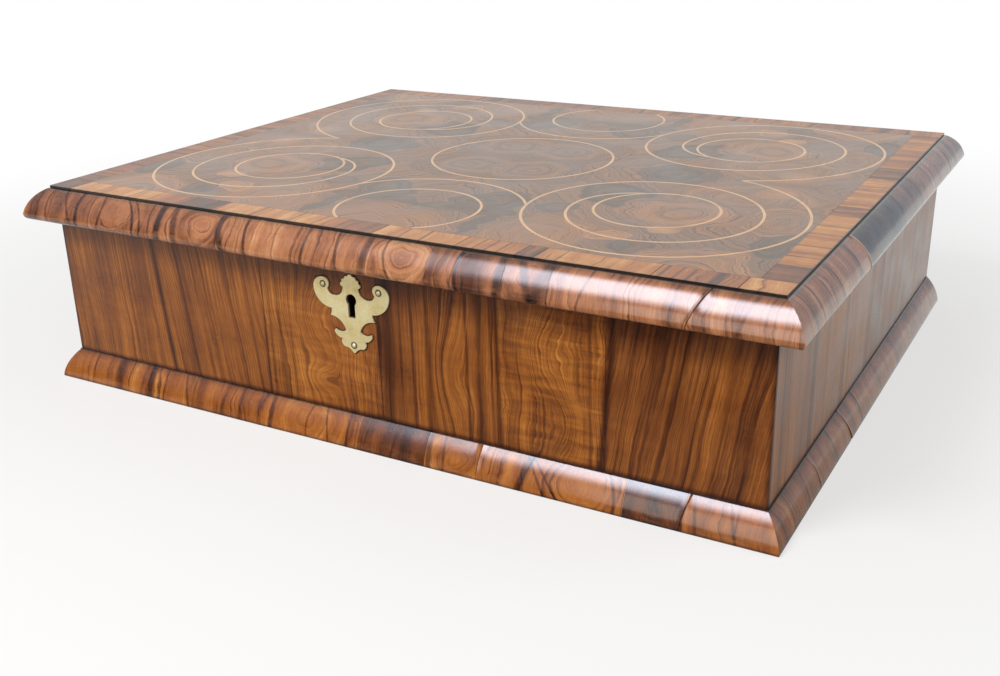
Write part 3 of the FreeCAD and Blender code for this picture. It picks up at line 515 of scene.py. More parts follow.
# Leaf veneer on the case: upright leaves, each with its own lean, figure and tone
def leaf_material(name, u, low, high, joints, rows, streaks, eyes=(), clouds_and_shade=()):
    """A row is the leaf's tone, its lean and how curly its figure is; a streak is a listed dark line,
    an eye turns the grain aside, and a cloud darkens the wood round a place."""
    g = Graph(name, coat=0.3, coat_roughness=0.08, specular=0.35)
    u, z = u(g), g.z
    up = z - LEAF_MIDDLE
    table = [(tone, (lean + 0.3) / 0.6, curl) for tone, lean, curl in rows]
    tone, lean, curl = lookup(g, u, low, high, [(top + foot) / 2 for top, foot in joints], table)
    big = g.noise(u, up, 0, (0.022, 0.016), 3, distortion=0.4)
    ripple = g.noise(u, up, 40, (0.035, 0.24), distortion=0.6)
    grain = u + up * (lean * 0.6 - 0.3) + big.swing(15) * (curl + 0.16) + ripple.swing(1.3) * curl
    for eye_u, eye_z, wide, tall, swell in eyes:
        grain = grain + swell * bell((u - eye_u) / wide, (z - eye_z) / tall)
    broad = g.noise(grain, up, 7, (0.05, 0.003))
    fine = g.noise(grain, up, 31, (1, 0.01), 3)
    pores = g.noise(grain, up, 53, (3.4, 0.12))
    cloud = g.noise(u, up, 71, (0.03, 0.03), 3)
    fade = g.noise(u, up, 83, (0.06, 0.014))
    late = growth(grain, 6.5, 1.5) * fade.smooth(0.35, 0.62)
    thin = growth(grain + 500, 2.1, 1.2) * fade.smooth(0.4, 0.65, 1, 0.1)
    total = tone + broad.swing(0.30) + fine.swing(0.36) + pores.swing(0.2) + cloud.swing(0.18)
    colour = g.ramp(total + ripple.swing(0.42) * curl, LEAF)
    dark = (1 - 0.46 * thin - 0.52 * late).math("MAXIMUM", 0.25)
    for place, slope, width, depth in streaks:
        here = abs(u + slope * up - place) + big.swing(0.8 + 0.6 * width)
        dark = dark * here.smooth(-0.4, width * 1.7, 1 - depth)
    dark = dark ** 1.3
    # Darker clouds: figure in the wood, and painted shade high up beneath the lid
    for cloud_u, cloud_z, wide, tall, depth in clouds_and_shade:
        across = (u - cloud_u + big.swing(12)) / wide
        dark = dark * (1 - depth * bell(across, (z - cloud_z) / tall))
    seam = FAR
    for top, foot in joints:
        slope = (top - foot) / LEAF_HEIGHT
        seam = abs(u - slope * up - (top + foot) / 2).math("MINIMUM", seam)
    seam = seam.smooth(0.08, 0.4, 1, 0)
    # Painted shade: darker towards the top beneath the lid's overhang, and just above the base moulding in
    # the crease
    under_lid_shade = z.smooth(JOINT - 26, JOINT, 1, 0.5)
    base_crease_shade = z.smooth(BASE_HEIGHT, BASE_HEIGHT + 3.8, 0.3)
    half = (high - low) / 2
    corner = abs(u - (low + high) / 2).smooth(half - 4, half, 1, 0.4)
    colour = colour.redden(dark).shade(1 - 0.6 * seam).redden(under_lid_shade * base_crease_shade).redden(corner)
    return g, colour, 0.4 * pores - 0.8 * seam - 0.3 * late, cloud.smooth(0.25, 0.75, 0.26, 0.4)


LEAF_MIDDLE, LEAF_HEIGHT = 65, JOINT - 9
FRONT_SEAMS = [(-176.8, -166), (-80.9, -80.4), (10.5, 10.8), (95.6, 95.4), (165.5, 166)]
FRONT_LEAVES = [
    (0.51, 0.06, 0.12), (0.52, 0.14, 0.08), (0.6, 0.03, 0.4), (0.55, 0, 0.14), (0.57, 0, 0.62),
    (0.48, -0.18, 0.1),
]
FRONT_STREAKS = [
    (-229, 0.05, 1.2, 0.22), (-203, 0.06, 1.5, 0.25), (-171.5, 0.1, 2.4, 0.72), (-150, 0.12, 1.4, 0.4),
    (-128, 0.14, 1.2, 0.3), (-108, 0.14, 2, 0.3), (-92, 0.1, 1.2, 0.3), (-80.7, 0, 1.2, 0.45),
    (-76, 0, 1, 0.4), (-68, 0.02, 1.6, 0.35), (-59, 0.02, 0.8, 0.3), (-2, 0.32, 1, 0.3), (11, 0, 1.2, 0.5),
    (17, 0, 5, 0.6), (27, 0, 0.8, 0.45), (36, 0.01, 1.2, 0.4), (47, 0.01, 2.6, 0.5), (75, 0.02, 1.4, 0.55),
    (84, 0.02, 3, 0.4), (92, 0.02, 1, 0.45), (96, 0.03, 1.8, 0.6), (156, 0.02, 1.4, 0.4),
    (166.5, -0.073, 2.6, 0.72), (178, -0.15, 1, 0.35), (190, -0.18, 1.2, 0.4), (205, -0.2, 1.8, 0.55),
    (221, -0.18, 1, 0.35), (236, -0.15, 1.4, 0.35), (250, -0.1, 1.2, 0.3),
]
FRONT_EYES = [
    (-36, 40, 11, 8, 15), (-44, 84, 15, 20, 10), (60, 66, 12, 26, 9), (126, 88, 17, 22, 12),
    (142, 44, 15, 17, -10),
]
# Darker clouds on the front: middle, widths and depth. Those high up beneath the lid are painted shade, the
# rest figure in the wood
FRONT_CLOUDS_AND_SHADE = [
    (-40, 122, 44, 24, 0.35), (18, 116, 34, 26, 0.45), (20, 60, 9, 50, 0.3), (98, 110, 12, 40, 0.25),
    (196, 96, 16, 46, 0.3), (-70, 40, 10, 40, 0.2), (240, 112, 30, 16, 0.3),
]
KEYHOLE_X, KEYHOLE_Z = -7.7, 98.7
PLATE_PINS = ((-28.9, 106.7), (13.5, 106.7), (-7.7, 68.4))


def front_leaves():
    g, colour, height, rough = leaf_material(
        "front_leaves", ALONG["front"], -CASE_HALF_X, CASE_HALF_X, FRONT_SEAMS, FRONT_LEAVES,
        FRONT_STREAKS, FRONT_EYES, FRONT_CLOUDS_AND_SHADE)
    # Painted shade: faces that don't look out, such as the walls of the hole for the key, are made nearly
    # black
    colour = colour.shade(g.facing[1].smooth(-0.8, -0.4, 1, 0.06))
    return g.finish(colour, height, 0.16, 0.12, rough)


def side_leaves(name, seams, leaves, streaks):
    g, colour, height, rough = leaf_material(
        name, ALONG["right"], CASE_FRONT, CASE_BACK, seams, leaves, streaks)
    return g.finish(colour, height, 0.16, 0.12, rough)


def side_seams(shares):
    """Tops and feet of the seams, as shares of half the side from its middle."""
    low, high = CASE_FRONT + VENEER, CASE_BACK
    middle, half = (low + high) / 2, (high - low) / 2
    return [tuple(middle + share * half for share in pair) for pair in shares]


RIGHT_SEAMS = side_seams(((-0.52, -0.51), (-0.03, -0.03), (0.47, 0.48)))
LEFT_SEAMS = side_seams(((-0.44, -0.45), (0.06, 0.05), (0.55, 0.55)))
RIGHT_LEAVES = [(0.62, 0.02, 0.1), (0.62, 0.05, 0.2), (0.52, -0.05, 0.1), (0.54, 0.03, 0.2)]
LEFT_LEAVES = [(0.54, -0.05, 0.2), (0.52, 0.04, 0.1), (0.6, 0.05, 0.55), (0.52, 0.08, 0.1)]
RIGHT_STREAKS = [
    (-195, 0.02, 1.6, 0.5), (-134, 0, 5, 0.5), (-60, 0, 4, 0.4), (40, 0.04, 3, 0.45), (150, -0.05, 5, 0.4),
]
LEFT_STREAKS = [(-120, 0.05, 4, 0.4), (10, 0.03, 4, 0.45), (110, -0.04, 3, 0.5)]


# Oyster veneer: slices across branches, laid in four mirrored quarters. A row is a patch's middle, its two
# radii, its turn, its tone and its seed; later patches lie over earlier ones.
OYSTERS = [
    (190, -45, 60, 50, 10, 0.50, 0.10),
    (24, -32, 48, 40, 0, 0.43, 0.40),
    (124, -4, 29, 25, 8, 0.22, 0.25),
    (108, -72, 33, 25, -35, 0.22, 0.33),
    (42, -116, 28, 21, 24, 0.24, 0.44),
    (34, -142, 36, 10, 5, 0.23, 0.52),
    (87, -113, 17, 15, 0, 0.30, 0.15),
    (234, -122, 15, 46, 0, 0.23, 0.91),
    (163, -174, 11, 17, 0, 0.25, 0.63),
    (59, -170, 6, 26, 0, 0.22, 0.74),
    (222, -86, 25, 36, 0, 0.50, 0.22),
    (164, -94, 42, 39, 12, 0.55, 0.70),
    (100, -178, 38, 50, 0, 0.57, 0.85),
    (205, -200, 42, 46, -6, 0.55, 0.35),
    (8, -196, 54, 44, 0, 0.54, 0.05),
    (141, -160, 15, 12, 0, 0.67, 0.60),
    (170, -134, 14, 13, 0, 0.67, 0.80),
    (204, -27, 15, 13, 10, 0.66, 0.95),
]
OYSTER_SEAM = 147.3


def oyster_material():
    g = Graph("oyster_veneer", coat=0.35, coat_roughness=0.1)
    x, y = abs(g.x), abs(g.y)
    drift = g.noise(g.x, g.y, 3, (0.02, 0.02))
    drift_2 = g.noise(g.x, g.y, 23, (0.02, 0.02))
    px, py = x + drift.swing(7), drift_2.swing(7) - y
    warp = g.noise(px, py, 11, (0.03, 0.03), 3)
    warp_2 = g.noise(px, py, 67, (0.03, 0.03), 3)
    rim_noise = g.noise(px, py, 90, (0.07, 0.07), 4)
    wx, wy = px + warp.swing(13), py + warp_2.swing(13)
    state = g.join(0.44, (0.75 * wx + 0.66 * wy) * 0.001)
    for cx, cy, rx, ry, turn, tone, seed in OYSTERS:
        cos, sin = math.cos(math.radians(turn)), math.sin(math.radians(turn))
        dx, dy = wx - cx, wy - cy
        away = distance((cos * dx + sin * dy) / rx, (cos * dy - sin * dx) / ry)
        rim = away + rim_noise.swing(0.16)
        inside = rim.smooth(0.9, 1, 1, 0)
        bark = rim.smooth(0.86, 0.99, 0, 0.14)
        ring = (rx + ry) * 0.0005 * away + seed
        state = g.blend(state, g.join(tone - bark, ring, seed), inside)
    tone, ring, seed = g.split(state)
    wobble = g.noise(px, py, 5, (0.12, 0.12), 3)
    ring = ring * 1000
    calm = abs(ring - 1000 * seed).smooth(4, 20, 0.35)
    ring = ring + wobble.swing(2.2)
    broad = g.line_noise(ring * 0.1, 1)
    fine = g.line_noise(ring * 1.1)
    late = growth(ring, 2.6, 1) * calm
    mottle = g.noise(g.x, g.y, 77, (0.022, 0.022), 4)
    streak = g.noise(ring, wx + wy, 5, (0.5, 0.05), 3)
    speck = g.noise(g.x, g.y, 5, (1.3, 1.3))
    total = tone + broad.swing(0.14) + fine.swing(0.14) + streak.swing(0.24) + mottle.swing(0.22)
    seam = x.math("MINIMUM", y).math("MINIMUM", abs(x - OYSTER_SEAM)).smooth(0.08, 0.35, 1, 0)
    # Painted shade: faces that don't look up are darker
    top = g.facing[2].smooth(0.3, 0.8, 0.3)
    colour = g.ramp(total + speck.swing(0.10), OYSTER).redden(1 - 0.7 * late)
    colour = colour.shade(1 - 0.45 * seam).shade(top)
    height = 0.2 * fine - 0.3 * late - 0.8 * seam
    return g.finish(colour, height, 0.16, 0.12, mottle.smooth(0.3, 0.7, 0.3, 0.42))


def boxwood_material():
    g = Graph("boxwood", roughness=0.32, coat=0.5, coat_roughness=0.1)
    tone = g.noise(g.x, g.y, 1, (0.05, 0.05), 3)
    fleck = g.noise(g.x, g.y, 9, (0.6, 0.6))
    return g.finish(g.ramp(tone.swing(0.5) + 0.5 + fleck.swing(0.2), BOXWOOD), fleck, 0.15, 0.1)


# Softwood of the carcase: grain along one axis
def softwood_material(name, axis, seed, tone, shaded_keyhole, edges):
    """Edges are places across the grain where a board meets its neighbour."""
    g = Graph(name, roughness=0.62, specular=0.3)
    places = [g.x, g.y, g.z]
    along = places.pop("xyz".index(axis)) + seed * 613
    a, b = places
    bend = g.noise(along, a, b, (0.0022, 0.009, 0.009), 1)
    slow = g.noise(along, a, b, (0.012, 0.03, 0.03))
    ring = 0.62 * a + 0.45 * b + bend.swing(15) + slow.swing(1.6) + seed * 77
    early = g.line_noise(ring * 0.12)
    late = growth(ring, 3.6, 0.9)
    fibre = g.noise(along, a, b, (0.04, 1.3, 1.3), 3)
    stain = g.noise(along, a, b, (0.01, 0.02, 0.02), 4, 0.6)
    knot_place = g.stretch(g.join(along, a, b + seed * 31), (0.0055, 0.011, 0.011))
    knot = g.add("TexVoronoi", {"Vector": knot_place, "Scale": 1})
    knot = (knot + fibre.swing(0.015)).smooth(0.045, 0.085, 1, 0)
    colour = g.ramp(tone + early.swing(0.28) + fibre.swing(0.18) + stain.swing(0.35), SOFTWOOD)
    colour = g.blend(colour.redden(1 - 0.42 * late), (0.09, 0.035, 0.014), 0.85 * knot)
    # Painted shade: the board is nearly black round the hole for the key, where it shows through
    if shaded_keyhole:
        off = distance(g.x - KEYHOLE_X, (g.z - (KEYHOLE_Z - 4)) * 0.55)
        colour = colour.shade(off.smooth(7, 9, 0.03))
    for edge in edges:
        here = abs(a - edge) + fibre.swing(0.5)
        colour = colour.shade(here.smooth(0.2, 1.4, 0.25))
    return g.finish(colour, 0.6 * late + 0.6 * fibre, 0.4, 0.25, stain.smooth(0.3, 0.7, 0.55, 0.72))


def brass_material():
    g = Graph("brass", roughness=0.3, metallic=0.55)
    patch = g.noise(g.x, g.z, 1, (0.07, 0.07), 4)
    fine = g.noise(g.x, g.z, g.y, (0.9, 0.9, 0.9), 3)
    scratch = g.noise(g.x + 0.6 * g.z, g.z, 4, (0.12, 2.6))
    colour = g.ramp(patch.swing(0.5) + 0.55 + fine.swing(0.25), BRASS)
    # Painted highlight: bevelled faces that don't look out are lightened
    colour = g.blend(colour, (0.98, 0.90, 0.66), g.facing[1].smooth(-0.97, -0.7, 0, 0.9))
    # Painted shade: a dark ring on the plate round each pin head
    for x, z in PLATE_PINS:
        off = distance(g.x - x, g.z - z)
        ring = off.smooth(1.1, 1.6) * off.smooth(2, 2.8, 1, 0)
        colour = colour.shade(1 - 0.85 * ring)
    rough = patch.smooth(0.3, 0.7, 0.42, 0.3) + scratch.swing(0.06)
    return g.finish(colour, 0.3 * fine + 0.35 * scratch, 0.16, 0.12, rough)


def iron_material(name, rust, worn=1):
    """Dull forged iron; the worn share brightens it, as on rubbed nail heads."""
    g = Graph(name, roughness=0.5, metallic=0.85)
    patch = g.noise(g.x, g.y, g.z, (0.09, 0.09, 0.09), 5, 0.6)
    hammer = g.noise(g.x, g.y, g.z, (0.33, 0.33, 0.33), 1)
    pit = g.noise(g.x, g.y, g.z, (1.6, 1.6, 1.6), 3)
    bright = [(place, tuple(part * worn for part in tone)) for place, tone in IRON]
    colour = g.ramp(patch + pit.swing(0.2), bright)
    colour = g.blend(colour, (0.13, 0.055, 0.025), patch.smooth(0.52, 0.72, 0, rust))
    return g.finish(colour, hammer + 0.35 * pit, 0.4, 0.4, patch.smooth(0.35, 0.7, 0.38, 0.68))


# Painted shadow: the colour of a dark sheet behind the key plate's rim
def plate_shadow_material():
    g = Graph("plate_shadow", roughness=0.6, specular=0.3)
    patch = g.noise(g.x, g.z, 2, (0.3, 0.3), 3)
    return g.finish(g.ramp(patch, PLATE_SHADOW), patch, 0.3, 0.1)


# Mouldings: each block swept along its side, a little out of line with its neighbours, with eased arrises
def arc(centre, start, end, count):
    """Points along the arc about a centre from start to end, without start. In these outlines a point is
    a complex number: its distance out from the edge, and its height as the imaginary part."""
    turn = cmath.phase((end - centre) / (start - centre))
    return [centre + (start - centre) * cmath.rect(1.0, turn * i / count) for i in range(1, count + 1)]


def pairs(points):
    return [(point.real, point.imag) for point in points]


def core(out, foot, up):
    """The hidden line of a moulding round its core."""
    return [(out, foot), (out, foot + up), (0.0, foot + up)]


def lid_outline():
    """The lid moulding's shown line, from the top to the joint, and its hidden line."""
    top = LID_TOP - LID_DROP
    middle = complex(LID_PROJECTION - NOSE_RADIUS, JOINT + NOSE_RADIUS)
    way = cmath.rect(1.0, math.radians(NOSE_BLEND))
    shoulder, cheek = complex(SHOULDER, top), middle + NOSE_RADIUS * way
    reach = shoulder - cheek
    radius = -abs(reach) ** 2 / (2 * (reach * way.conjugate()).real)
    show = [complex(0, top), shoulder]
    show += arc(cheek - radius * way, shoulder, cheek, 14)
    show += arc(middle, cheek, complex(middle.real, JOINT), 9)
    return pairs(show), core(LID_CORE_OUT, JOINT, LID_CORE_UP)


def base_outline():
    """The base moulding's shown line, from its lip to the floor, and its hidden line."""
    shoulder, foot = complex(SHOULDER, BASE_HEIGHT - BASE_LIP), complex(BASE_PROJECTION, BASE_FOOT)
    chord = foot - shoulder
    radius = (abs(chord) ** 2 / 4 + BASE_SWELL ** 2) / (2 * BASE_SWELL)
    centre = (shoulder + foot) / 2 + (BASE_SWELL - radius) * 1j * chord / abs(chord)
    show = [complex(0, BASE_HEIGHT), complex(SHOULDER, BASE_HEIGHT), shoulder]
    show += arc(centre, shoulder, foot, 16)
    show += [complex(BASE_PROJECTION, 0)]
    return pairs(show), core(BASE_CORE_OUT, 0.0, BASE_CORE_UP)


# How the blocks stray: half the gap and easing of a joint, the easing of a crack, and the faces' wander
HALF_GAP, JOINT_EASE, CRACK_EASE, CRACK_REACH = 0.02, 0.015, 0.2, 11.0
EASE_MIDDLE, EASE_REACH, STEP = 0.22, 0.6, 4.0
BLOCK_LIFT, FACE_WANDER, FACE_RIPPLE = 0.03, 0.12, 0.03
SHARP_ANGLE = 38.0
SIDES = ("front", "right", "back", "left")
TURNS = {"front": 0.0, "right": 90.0, "back": 180.0, "left": -90.0}


def make_piece(name, mesh):
    """A new object from a mesh that is then done with."""
    bmesh.ops.recalc_face_normals(mesh, faces=mesh.faces)
    data = bpy.data.meshes.new(name)
    mesh.to_mesh(data)
    mesh.free()
    piece = bpy.data.objects.new(name, data)
    bpy.context.scene.collection.objects.link(piece)
    return piece


def sweep_blocks(name, side, edge, ends, mitred, joints, show, hidden, seed, cracks):
    """One object: blocks of the outline along a side, nearly flush, with joints that lean and faces that
    wander a little. A crack is a joint that has opened: half its width, and how far it widens downwards."""
    mesh = bmesh.new()
    outline = show + hidden
    draw = random.Random(seed)
    places = leaning(joints)
    middle_v = sum((z - p) for p, z in show) / len(show)

    def joint_u(index, p, z, way):
        place, lean = places[index]
        half_gap, widening = cracks.get(index, (HALF_GAP, 0.0))
        v = (z - p - middle_v) * DIAGONAL
        return place + lean * v + way * (half_gap + widening * max(0.0, -v / CRACK_REACH))

    def ease(index):
        return CRACK_EASE if index in cracks else JOINT_EASE

    def end_u(which, p):
        return ends[which] + (p if which else -p) * mitred[which]

    count = len(places) + 1
    for block in range(count):
        lift = draw.uniform(-BLOCK_LIFT, BLOCK_LIFT)
        tip = draw.uniform(-BLOCK_LIFT, BLOCK_LIFT)
        phase = draw.uniform(0, 100)

        def first(p, z, index=block - 1):
            return joint_u(index, p, z, 1) if index >= 0 else end_u(0, p)

        def last(p, z, index=block):
            return joint_u(index, p, z, -1) if index < count - 1 else end_u(1, p)

        halfway = show[len(show) // 2]
        length = abs(last(*halfway) - first(*halfway))
        steps = max(4, round(length / STEP))
        near = (0.0, EASE_MIDDLE, EASE_REACH)
        inside = [length * i / steps for i in range(1, steps)]
        stations = sorted([*near, *inside, *(length - s for s in near)])
        ease_at_start = ease(block - 1) if block > 0 else 0.0
        ease_at_end = ease(block) if block < count - 1 else 0.0
        rings = []
        for s in stations:
            t = s / length
            ring = []
            for k, (p, z) in enumerate(outline):
                u = first(p, z) * (1 - t) + last(p, z) * t
                move = 0.0
                if 1 <= k < len(show) - 1:
                    wander = noise.noise(Vector((u * 0.035, z * 0.05, phase)))
                    fine = noise.noise(Vector((u * 0.13, z * 0.12, phase + 30)))
                    move = lift + tip * (t - 0.5) * 2 + FACE_WANDER * wander + FACE_RIPPLE * fine
                    move -= ease_at_start * max(0.0, 1 - s / EASE_REACH) ** 2
                    move -= ease_at_end * max(0.0, 1 - (length - s) / EASE_REACH) ** 2
                before, after = outline[k - 1], outline[(k + 1) % len(outline)]
                tangent = (after[0] - before[0], after[1] - before[1])
                size = math.hypot(*tangent) or 1.0
                normal = (-tangent[1] / size, tangent[0] / size)
                ring.append(mesh.verts.new((u, -edge - (p - move * normal[0]), z - move * normal[1])))
            rings.append(ring)
        total = len(outline)
        for a, b in zip(rings, rings[1:]):
            for k in range(total):
                mesh.faces.new((a[k], b[k], b[(k + 1) % total], a[(k + 1) % total]))
        mesh.faces.new(list(reversed(rings[0])))
        mesh.faces.new(rings[-1])
    mesh.transform(Matrix.Rotation(math.radians(TURNS[side]), 4, "Z") @ Matrix.Scale(MM, 4))
    piece = make_piece(name, mesh)
    for polygon in piece.data.polygons:
        polygon.use_smooth = True
    piece.data.set_sharp_from_angle(angle=math.radians(SHARP_ANGLE))
    return piece


def dress(piece, material):
    piece.data.materials.clear()
    piece.data.materials.append(material)


def install(piece, material, body, replaced):
    """A new piece on a body, in the place of a node."""
    dress(piece, material)
    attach(piece, body)
    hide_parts(replaced)


LID_CRACKS = {"front": {11: (0.14, 0.1)}, "right": {2: (0.16, 0.1)}, "left": {3: (0.1, 0.0)}}
BASE_CRACKS = {
    "front": {5: (0.09, 0.05), 8: (0.12, 0.0)},
    "right": {0: (0.14, 0.1), 1: (0.2, 1.3)},
    "left": {2: (0.12, 0.3)},
}
BASE_MITRES = {"front": (1, 1), "right": (1, 0), "left": (0, 1)}

for number, side in enumerate(SIDES):
    half, joints, edge = LID_HALVES[side], LID_JOINTS[side], LID_EDGES[side]
    rows = LID_ROWS.get(side) or random_rows(number + 7, [-half] + middles(joints) + [half])
    material = moulding_material("lid", side, -half, half, joints, rows, edge)
    if side == "back":
        dress(nodes["lid_moulding_back"], material)
        continue
    inner = half - LID_PROJECTION
    piece = sweep_blocks(
        "lid_blocks_" + side, side, edge, (-inner, inner), (1, 1), joints, *lid_outline(), number + 3,
        LID_CRACKS[side])
    install(piece, material, "lid", "lid_moulding_" + side)

for number, side in enumerate(("front", "right", "left")):
    (low, high), joints, edge = BASE_SPANS[side], BASE_JOINTS[side], BASE_EDGES[side]
    rows = BASE_ROWS.get(side) or random_rows(number + 19, [low] + middles(joints) + [high])
    material = moulding_material("base", side, low, high, joints, rows, edge)
    mitred = BASE_MITRES[side]
    ends = (low + BASE_PROJECTION * mitred[0], high - BASE_PROJECTION * mitred[1])
    piece = sweep_blocks(
        "base_blocks_" + side, side, edge, ends, mitred, joints, *base_outline(), number + 13,
        BASE_CRACKS[side])
    install(piece, material, "case", "base_moulding_" + side)

# Materials of the nodes that stay
for side in SIDES:
    dress(nodes["crossband_" + side], band_material(side))
dress(nodes["oyster_field"], oyster_material())


FACE_WELD, FACE_SLACK, FACING = 0.001, 0.05, 0.9
STRIP_GROW, STRIP_RISE, STRIP_DEPTH = 0.26, 0.025, 0.4
# Painted shadow round the key plate: how far it grows past the plate, its place and its skirt
SHADOW_GROW, SHADOW_RISE, SHADOW_DEPTH = 0.75, -1.05, 0.1


def face_outset(name, source, axis, sign, grow, rise, depth):
    """A new piece from one side of a node: its faces that look along the axis, grown sideways, moved out by
    rise and given a skirt of that depth."""
    mesh = bmesh.new()
    mesh.from_mesh(nodes[source].data)
    bmesh.ops.remove_doubles(mesh, verts=mesh.verts, dist=FACE_WELD * MM)
    aside = [f for f in mesh.faces if f.normal[axis] * sign < FACING]
    bmesh.ops.delete(mesh, geom=aside, context="FACES")
    level = max(v.co[axis] * sign for v in mesh.verts)
    low = [f for f in mesh.faces if f.calc_center_median()[axis] * sign < level - FACE_SLACK * MM]
    bmesh.ops.delete(mesh, geom=low, context="FACES")
    push = {}
    for edge in mesh.edges:
        if len(edge.link_faces) == 1:
            a, b = edge.verts
            face = edge.link_faces[0]
            out = (b.co - a.co).cross(face.normal).normalized()
            if out.dot(face.calc_center_median() - a.co) > 0:
                out = -out
            for vert in edge.verts:
                push.setdefault(vert, []).append(out)
    for vert, ways in push.items():
        way = sum(ways, Vector()).normalized()
        square = max(0.5, way.dot(ways[0]))
        uneven = 1 + 0.3 * noise.noise(vert.co / MM * 0.09)
        vert.co = vert.co + way * (grow * MM * uneven / square)
    for vert in mesh.verts:
        vert.co[axis] += sign * rise * MM
    rim = [e for e in mesh.edges if len(e.link_faces) == 1]
    skirt = bmesh.ops.extrude_edge_only(mesh, edges=rim)["geom"]
    for vert in skirt:
        if isinstance(vert, bmesh.types.BMVert):
            vert.co[axis] -= sign * depth * MM
    return make_piece(name, mesh)


boxwood = boxwood_material()
for name in ("scrolls", "rings", "bays", "links"):
    strip = face_outset("strips_" + name, "stringing_" + name, 2, 1, STRIP_GROW, STRIP_RISE, STRIP_DEPTH)
    install(strip, boxwood, "lid", "stringing_" + name)
# Painted shadow: a dark sheet a little wider than the key plate, just behind it
plate_shadow = face_outset("key_plate_shadow", "key_plate", 1, -1, SHADOW_GROW, SHADOW_RISE, SHADOW_DEPTH)
dress(plate_shadow, plate_shadow_material())
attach(plate_shadow, "case")
dress(nodes["front_veneer"], front_leaves())
dress(nodes["right_veneer"], side_leaves("right_leaves", RIGHT_SEAMS, RIGHT_LEAVES, RIGHT_STREAKS))
dress(nodes["left_veneer"], side_leaves("left_leaves", LEFT_SEAMS, LEFT_LEAVES, LEFT_STREAKS))

BOARD_TONES = {
    "front_board": 0.46, "back_board": 0.42, "left_board": 0.52, "right_board": 0.48,
    "bottom_front_board": 0.54, "bottom_rear_board": 0.4,
    "lid_front_plank": 0.56, "lid_middle_plank": 0.44, "lid_rear_plank": 0.52,
    # Painted shade: the hidden cores get a dark tone, as they show only deep in the cracks
    "base_core_front": 0.2, "base_core_right": 0.2, "base_core_left": 0.2,
    "lid_core_front": 0.2, "lid_core_right": 0.2, "lid_core_back": 0.2, "lid_core_left": 0.2,
}
LID_PLANKS = ("lid_front_plank", "lid_middle_plank", "lid_rear_plank")
BOTTOM_BOARDS = ("bottom_front_board", "bottom_rear_board")


def meeting_edges(names):
    """Places in Y where a row of boards meets, for each board."""
    spans = {name: [corner[1] / MM for corner in nodes[name].bound_box] for name in names}
    low = min(min(span) for span in spans.values()) + 1
    high = max(max(span) for span in spans.values()) - 1
    return {name: [e for e in (min(span), max(span)) if low < e < high] for name, span in spans.items()}


BOARD_EDGES = {**meeting_edges(LID_PLANKS), **meeting_edges(BOTTOM_BOARDS)}
for seed, (name, tone) in enumerate(BOARD_TONES.items(), 1):
    axis = "y" if "left" in name or "right" in name else "x"
    shaded_keyhole = name == "front_board"
    wood = softwood_material("softwood_" + name, axis, seed, tone, shaded_keyhole, BOARD_EDGES.get(name, ()))
    dress(nodes[name], wood)

brass = brass_material()
iron = iron_material("iron", 0.45)
nail_iron = iron_material("nail_iron", 0.1, 2.6)
steel = iron_material("spring_steel", 0.15)
for name in ("key_plate", "key_plate_pins"):
    dress(nodes[name], brass)
for name, node in nodes.items():
    if name.endswith("_nails"):
        dress(node, nail_iron)
    elif name.startswith(("hinge", "lock", "bolt", "link", "staple")):
        dress(node, iron)
dress(nodes["bolt_spring"], steel)


PLATE_ARRIS, BAND_ARRIS, PLANK_ARRIS, BOARD_ARRIS, HINGE_ARRIS = 0.6, 0.12, 0.5, 0.3, 0.35
WELD_REACH, ARRIS_ANGLE = 0.002, 35.0


def ease_edges(name, width, segments=2):
    """Rounded arrises on a node that stays: its split corners are joined, then bevelled."""
    node = nodes[name]
    weld = node.modifiers.new("weld", "WELD")
    weld.merge_threshold = WELD_REACH * MM
    bevel = node.modifiers.new("arris", "BEVEL")
    bevel.width = width * MM
    bevel.segments = segments
    bevel.limit_method = "ANGLE"
    bevel.angle_limit = math.radians(ARRIS_ANGLE)
    bevel.harden_normals = True


ease_edges("key_plate", PLATE_ARRIS, 3)
for side in SIDES:
    ease_edges("crossband_" + side, BAND_ARRIS, 1)
for name in LID_PLANKS + BOTTOM_BOARDS:
    ease_edges(name, PLANK_ARRIS)
for name in ("front_board", "back_board", "left_board", "right_board"):
    ease_edges(name, BOARD_ARRIS)
for name in nodes:
    if name.startswith("hinge") and "leaf" in name:
        ease_edges(name, HINGE_ARRIS)

# Stage, in metres: a pale floor, a white surround with a window in reflections alone, three soft lamps and
# the camera
scene = bpy.context.scene
scene.view_settings.view_transform = "Standard"
FLOOR_HALF, FLOOR_DROP = 14.0, 0.0004
OPENING_OUT, OPENING_IN = 0.006, 0.003
WINDOW_COLOUR, WINDOW_STRENGTH = (0.9, 0.98, 1.14, 1), 14.0
WINDOW_EDGES = (
    ("X", -0.53, -0.41), ("X", 0.1, -0.1), ("Y", -0.78, -0.54), ("Y", 0.02, -0.2), ("Z", 0.3, 0.5))
LAMPS = (
    ("softbox", (-0.28, -1.0, 1.12), (0.15, -0.22, 0.1), (0.52, 0.5), 12.0, (1.0, 0.98, 0.97)),
    ("front", (0.1, -1.7, 0.55), (0.0, -0.1, 0.08), (1.2, 0.8), 8.0, (1.0, 0.95, 0.88)),
    ("rear", (1.3, 0.4, 0.95), (0.0, 0.0, 0.1), (0.9, 0.9), 6.0, (0.95, 0.97, 1.0)),
)
CAMERA_PLACE = (0.413995, -0.763456, 0.34402)
CAMERA_ANGLES = (29.786, 21.634, -1.268)
CAMERA_LENS = 42.15


